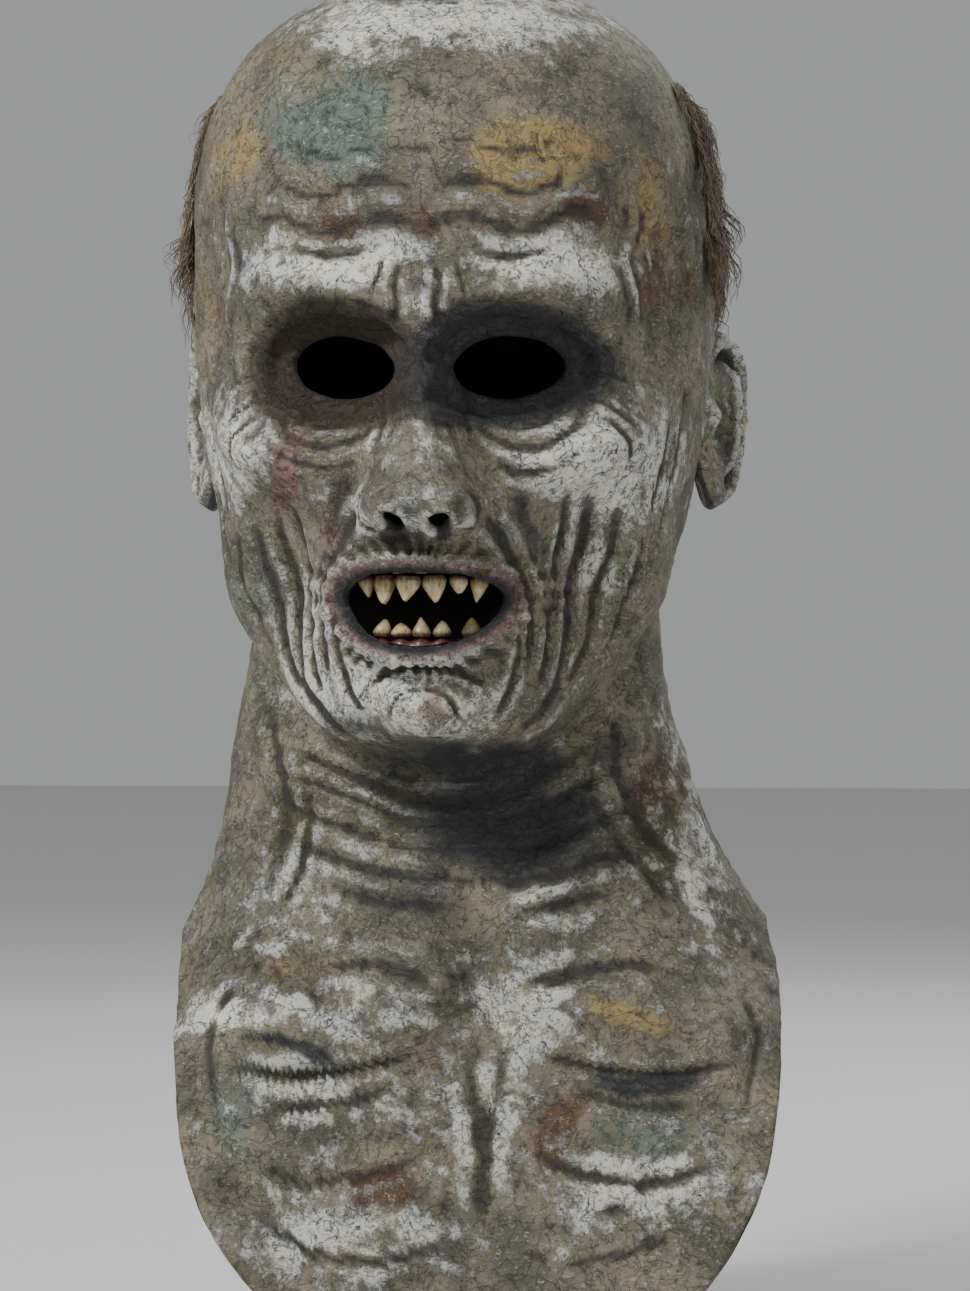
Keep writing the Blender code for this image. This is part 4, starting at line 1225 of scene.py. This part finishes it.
# One material and the means to add nodes to it.
class Paint:
    def __init__(self, name):
        self.material = bpy.data.materials.new(name)
        self.material.use_nodes = True
        self.tree = self.material.node_tree
        self.shader = self.tree.nodes["Principled BSDF"]
        self.place = self.node("ShaderNodeTexCoord", {}, {}, "Object")

    def node(self, kind, settings, inputs, output=None):
        made = self.tree.nodes.new(kind)
        for key, value in settings.items():
            setattr(made, key, value)
        for key, value in inputs.items():
            socket = made.inputs[key] if isinstance(key, int) else self.find(made.inputs, key)
            self.join(socket, value)
        out = self.find(made.outputs, output) if output else made.outputs[0]
        return Val(self, out)

    def find(self, sockets, name):
        return next(s for s in sockets if name in (s.identifier, s.name) and s.enabled)

    def join(self, socket, value):
        if isinstance(value, Val):
            self.tree.links.new(value.socket, socket)
        else:
            socket.default_value = value

    def noise(self, scale, detail=6, rough=0.6, distortion=0.0, stretch=None):
        place = self.place
        if stretch:
            place = self.node("ShaderNodeMapping", {}, {"Vector": place, "Scale": stretch})
        inputs = {"Vector": place, "Scale": scale, "Detail": detail}
        inputs.update({"Roughness": rough, "Distortion": distortion})
        return self.node("ShaderNodeTexNoise", {}, inputs, "Fac")

    # Near 0 along wandering lines, where a noise crosses its middle value.
    def ridge(self, scale, distortion):
        crossing = self.noise(scale, 5, 0.55, distortion) - 0.5
        return self.node("ShaderNodeMath", {"operation": "ABSOLUTE"}, {0: crossing})

    def mask(self, name):
        return self.node("ShaderNodeAttribute", {"attribute_name": name}, {}, "Fac")

    def blend(self, factor, under, over):
        return self.node(
            "ShaderNodeMix",
            {"data_type": "RGBA", "clamp_factor": True},
            {"Factor_Float": factor, "A_Color": under, "B_Color": over},
            "Result_Color",
        )

    def finish(self, colour, roughness, height=None, reach=0.001, strength=1.0):
        self.join(self.shader.inputs["Base Color"], colour)
        self.join(self.shader.inputs["Roughness"], roughness)
        if height is not None:
            heights = {"Height": height, "Distance": reach, "Strength": strength}
            bump = self.node("ShaderNodeBump", {}, heights)
            self.join(self.shader.inputs["Normal"], bump)
        return self.material


def rgb(red, green, blue):
    return (red, green, blue, 1)


# paint of the latex and of its painted shade, as linear colours
latexPaint = {
    "greyTan": rgb(0.260, 0.225, 0.150),
    "oliveGrey": rgb(0.105, 0.100, 0.068),
    "cream": rgb(0.860, 0.820, 0.690),
    "boneWhite": rgb(0.720, 0.730, 0.700),
    "teal": rgb(0.125, 0.180, 0.150),
    "ochre": rgb(0.370, 0.260, 0.090),
    "brown": rgb(0.110, 0.052, 0.022),
    "moss": rgb(0.075, 0.066, 0.024),
    "red": rgb(0.170, 0.045, 0.034),
    "flesh": rgb(0.300, 0.170, 0.160),
    "charcoal": rgb(0.020, 0.022, 0.027),
    "umber": rgb(0.035, 0.022, 0.012),
    # near black: the dark speckles and cracks of the paint, and the painted shade in the hollows
    "washAndShade": rgb(0.030, 0.027, 0.024),
}


# how fine each layer of the paint is: more is finer
latexGrain = {
    "wide": 38,
    "blotch": 110,
    "flake": 300,
    "speck": 800,
    "streak": 420,
    "crack": 130,
    "fineCrack": 330,
}


def paintLatex():
    paint = Paint("paintedLatex")
    wide = paint.noise(latexGrain["wide"], 5, 0.6)
    blotch = paint.noise(latexGrain["blotch"], 7, 0.68)
    flake = paint.noise(latexGrain["flake"], 8, 0.72, 0.3)
    speck = paint.noise(latexGrain["speck"], 6, 0.7)
    streak = paint.noise(latexGrain["streak"], 5, 0.65, 0.6, (1.0, 1.0, 2.6))
    crack = paint.ridge(latexGrain["crack"], 0.8)
    fineCrack = paint.ridge(latexGrain["fineCrack"], 0.6)
    cavity = paint.mask("cavity")
    broken = 0.55 * blotch + 0.45 * flake
    colour = paint.blend(wide.rise(0.35, 0.65), latexPaint["oliveGrey"], latexPaint["greyTan"])
    layers = (
        ("teal", "teal", 0.55, 0.95),
        ("ochre", "ochre", 0.55, 0.95),
        ("brown", "brown", 0.60, 0.90),
        ("moss", "moss", 0.62, 0.92),
    )
    for name, tint, low, high in layers:
        amount = (paint.mask(name) * 0.90 + broken * 1.3 - 0.46).rise(low, high)
        colour = paint.blend(amount * 0.92, colour, latexPaint[tint])
    pale = paint.mask("pale")
    creamy = paint.blend(blotch.rise(0.4, 0.6), latexPaint["cream"], latexPaint["boneWhite"])
    brushed = (pale * 0.42 + flake * 1.15 + blotch * 0.75 - cavity * 0.45).rise(0.80, 1.02)
    colour = paint.blend(brushed * (0.50 + 0.50 * pale), colour, creamy)
    red = paint.mask("red")
    flesh = paint.blend(flake.rise(0.42, 0.58), latexPaint["flesh"], latexPaint["red"])
    colour = paint.blend((red * 0.95 + broken * 0.6 - 0.3).rise(0.42, 0.80) * 0.8, colour, flesh)
    specks = (speck * 0.45 + flake * 0.55).rise(0.525, 0.590)
    colour = paint.blend(specks * 0.72, colour, latexPaint["washAndShade"])
    tips = (speck * 0.5 + streak * 0.5).rise(0.54, 0.62)
    colour = paint.blend(tips * 0.60 * (1 - cavity), colour, latexPaint["cream"])
    cracked = (1 - crack.rise(0.004, 0.022)) * blotch.rise(0.40, 0.56)
    fine = (1 - fineCrack.rise(0.006, 0.030)) * flake.rise(0.44, 0.58)
    colour = paint.blend((cracked * 0.85 + fine * 0.75) * (0.45 + 0.55 * pale), colour, latexPaint["washAndShade"])
    # Painted shade: the hollows and creases of the cast darkened toward the near-black colour.
    hollowShade = (cavity + (broken - 0.5) * 0.55 - 0.5).rise(0.05, 0.55)
    colour = paint.blend(hollowShade * 0.88, colour, latexPaint["washAndShade"])
    # Painted shade and dark paint: near black in the eye sockets, round the mouth, at the nostrils, under the jaw,
    # down the neck, under the collar bones and in the ears' hollows.
    shadeAndDarkPaint = paint.mask("shadeAndDarkPaint")
    deep = paint.blend(paint.mask("warmSocket"), latexPaint["charcoal"], latexPaint["umber"])
    shaded = (shadeAndDarkPaint * 1.15 + (broken - 0.5) * 0.5).rise(0.25, 0.8)
    colour = paint.blend(shaded * 0.93, colour, deep)
    roughness = 0.60 + 0.22 * flake - 0.12 * shadeAndDarkPaint
    height = 0.55 * flake + 0.25 * speck + 0.30 * streak + 0.30 * crack.rise(0.0, 0.03) + 0.35 * brushed
    return paint.finish(colour, roughness, height, 0.0026, 0.9)


# The inside of the casting, painted near black as painted shade inside the hollow head.
def paintInside():
    paint = Paint("latexInsideShade")
    grain = paint.noise(260, 5, 0.6)
    blotch = paint.noise(45, 4, 0.6)
    colour = paint.blend(blotch.rise(0.35, 0.7), rgb(0.030, 0.026, 0.020), rgb(0.055, 0.046, 0.034))
    return paint.finish(colour, 0.55 + 0.2 * grain, grain, 0.0006, 0.5)


def paintGum():
    paint = Paint("wetGum")
    blotch = paint.noise(260, 6, 0.65)
    fine = paint.noise(1100, 5, 0.6)
    colour = paint.blend(blotch.rise(0.38, 0.62), rgb(0.060, 0.014, 0.011), rgb(0.115, 0.040, 0.030))
    colour = paint.blend(fine.rise(0.52, 0.66) * 0.6, colour, rgb(0.020, 0.010, 0.008))
    paint.shader.inputs["Coat Weight"].default_value = 0.35
    return paint.finish(colour, 0.36 + 0.2 * blotch, blotch * 0.7 + fine * 0.3, 0.0006, 0.7)


def paintTooth():
    paint = Paint("agedIvory")
    rootward = paint.mask("rootward")
    blotch = paint.noise(330, 6, 0.65)
    streak = paint.noise(700, 5, 0.65, 0.4, (1.6, 1.6, 0.35))
    colour = paint.blend(blotch.rise(0.35, 0.65), rgb(0.640, 0.540, 0.330), rgb(0.430, 0.310, 0.135))
    stain = (rootward * 1.1 + (streak - 0.5) * 1.3).rise(0.42, 1.12)
    colour = paint.blend(stain * 0.92, colour, rgb(0.080, 0.038, 0.012))
    colour = paint.blend(streak.rise(0.56, 0.68) * 0.55, colour, rgb(0.120, 0.065, 0.022))
    paint.shader.inputs["Coat Weight"].default_value = 0.25
    return paint.finish(colour, 0.30 + 0.25 * blotch, streak * 0.6 + blotch * 0.4, 0.0003, 0.6)


def paintHair():
    paint = Paint("dustyHair")
    tone = paint.mask("strandTone")
    dust = paint.noise(150, 6, 0.65)
    fibre = paint.noise(900, 4, 0.6, 0.2, (1.0, 1.0, 0.12))
    colour = paint.blend(tone, rgb(0.070, 0.048, 0.030), rgb(0.250, 0.195, 0.130))
    colour = paint.blend(dust.rise(0.48, 0.66) * 0.6, colour, rgb(0.330, 0.300, 0.235))
    colour = paint.blend(fibre.rise(0.5, 0.62) * 0.4, colour, rgb(0.035, 0.024, 0.016))
    return paint.finish(colour, 0.80 + 0.15 * fibre, fibre, 0.0006, 0.8)


def paintFloor():
    paint = Paint("paleFloor")
    return paint.finish(rgb(0.72, 0.72, 0.71), 0.9)


latexLook, insideLook = paintLatex(), paintInside()
gumLook, toothLook, hairLook = paintGum(), paintTooth(), paintHair()
print("materials made")


def dress(piece, node):
    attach(piece, "root")
    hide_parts(node)


dress(makeSkin([latexLook, insideLook]), "mask_skin")
print("skin made")
for earName, earSide in (("earLeft", 1), ("earRight", -1)):
    dress(makeEar(earName, earSide, [latexLook]), "mask_skin")
print("ears made")
for jawName in ("upper", "lower"):
    dress(makeGum(jawName, gumLook), f"{jawName}_gum")
    for toothNumber, toothRow in enumerate(teethRows[jawName], start=1):
        dress(makeTooth(jawName, toothNumber, toothRow, toothLook), f"tooth_{jawName}_{toothNumber}")
print("gums and teeth made")
for hairSeed, matName in enumerate(hair["mats"], start=3):
    dress(makeHair(matName, hairSeed, hairLook), matName)
print("hair made")

# stage: a pale floor just under the bib, three soft lights and an even sky
stage = {
    "floorDrop": 0.012,
    "floorReach": 6.0,
    "sky": (0.78, 0.79, 0.80, 1),
    "skyStrength": 0.44,
    "lights": [
        # name, place, watts, size
        ("key", (-0.85, -0.95, 0.85), 27, 0.40),
        ("fill", (1.15, -0.95, 0.05), 5, 0.8),
        ("rim", (0.6, 1.2, 0.8), 12, 0.7),
    ],
}


def setStage():
    reach = stage["floorReach"]
    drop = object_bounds()[0].z - stage["floorDrop"]
    corners = [(-reach, -reach, drop), (reach, -reach, drop), (reach, reach, drop), (-reach, reach, drop)]
    makeObject("floor", corners, [[0, 1, 2, 3]], [paintFloor()], None, False)
    for name, place, watts, size in stage["lights"]:
        light = bpy.data.lights.new(name, "AREA")
        light.energy = watts
        light.size = size
        lamp = bpy.data.objects.new(name, light)
        lamp.location = place
        lamp.rotation_euler = (Vector((0, 0, -0.2)) - Vector(place)).to_track_quat("-Z", "Y").to_euler()
        bpy.context.scene.collection.objects.link(lamp)
    world = bpy.data.worlds.new("studio")
    bpy.context.scene.world = world
    world.use_nodes = True
    sky = world.node_tree.nodes["Background"]
    sky.inputs["Color"].default_value = stage["sky"]
    sky.inputs["Strength"].default_value = stage["skyStrength"]


setStage()
print("stage set")
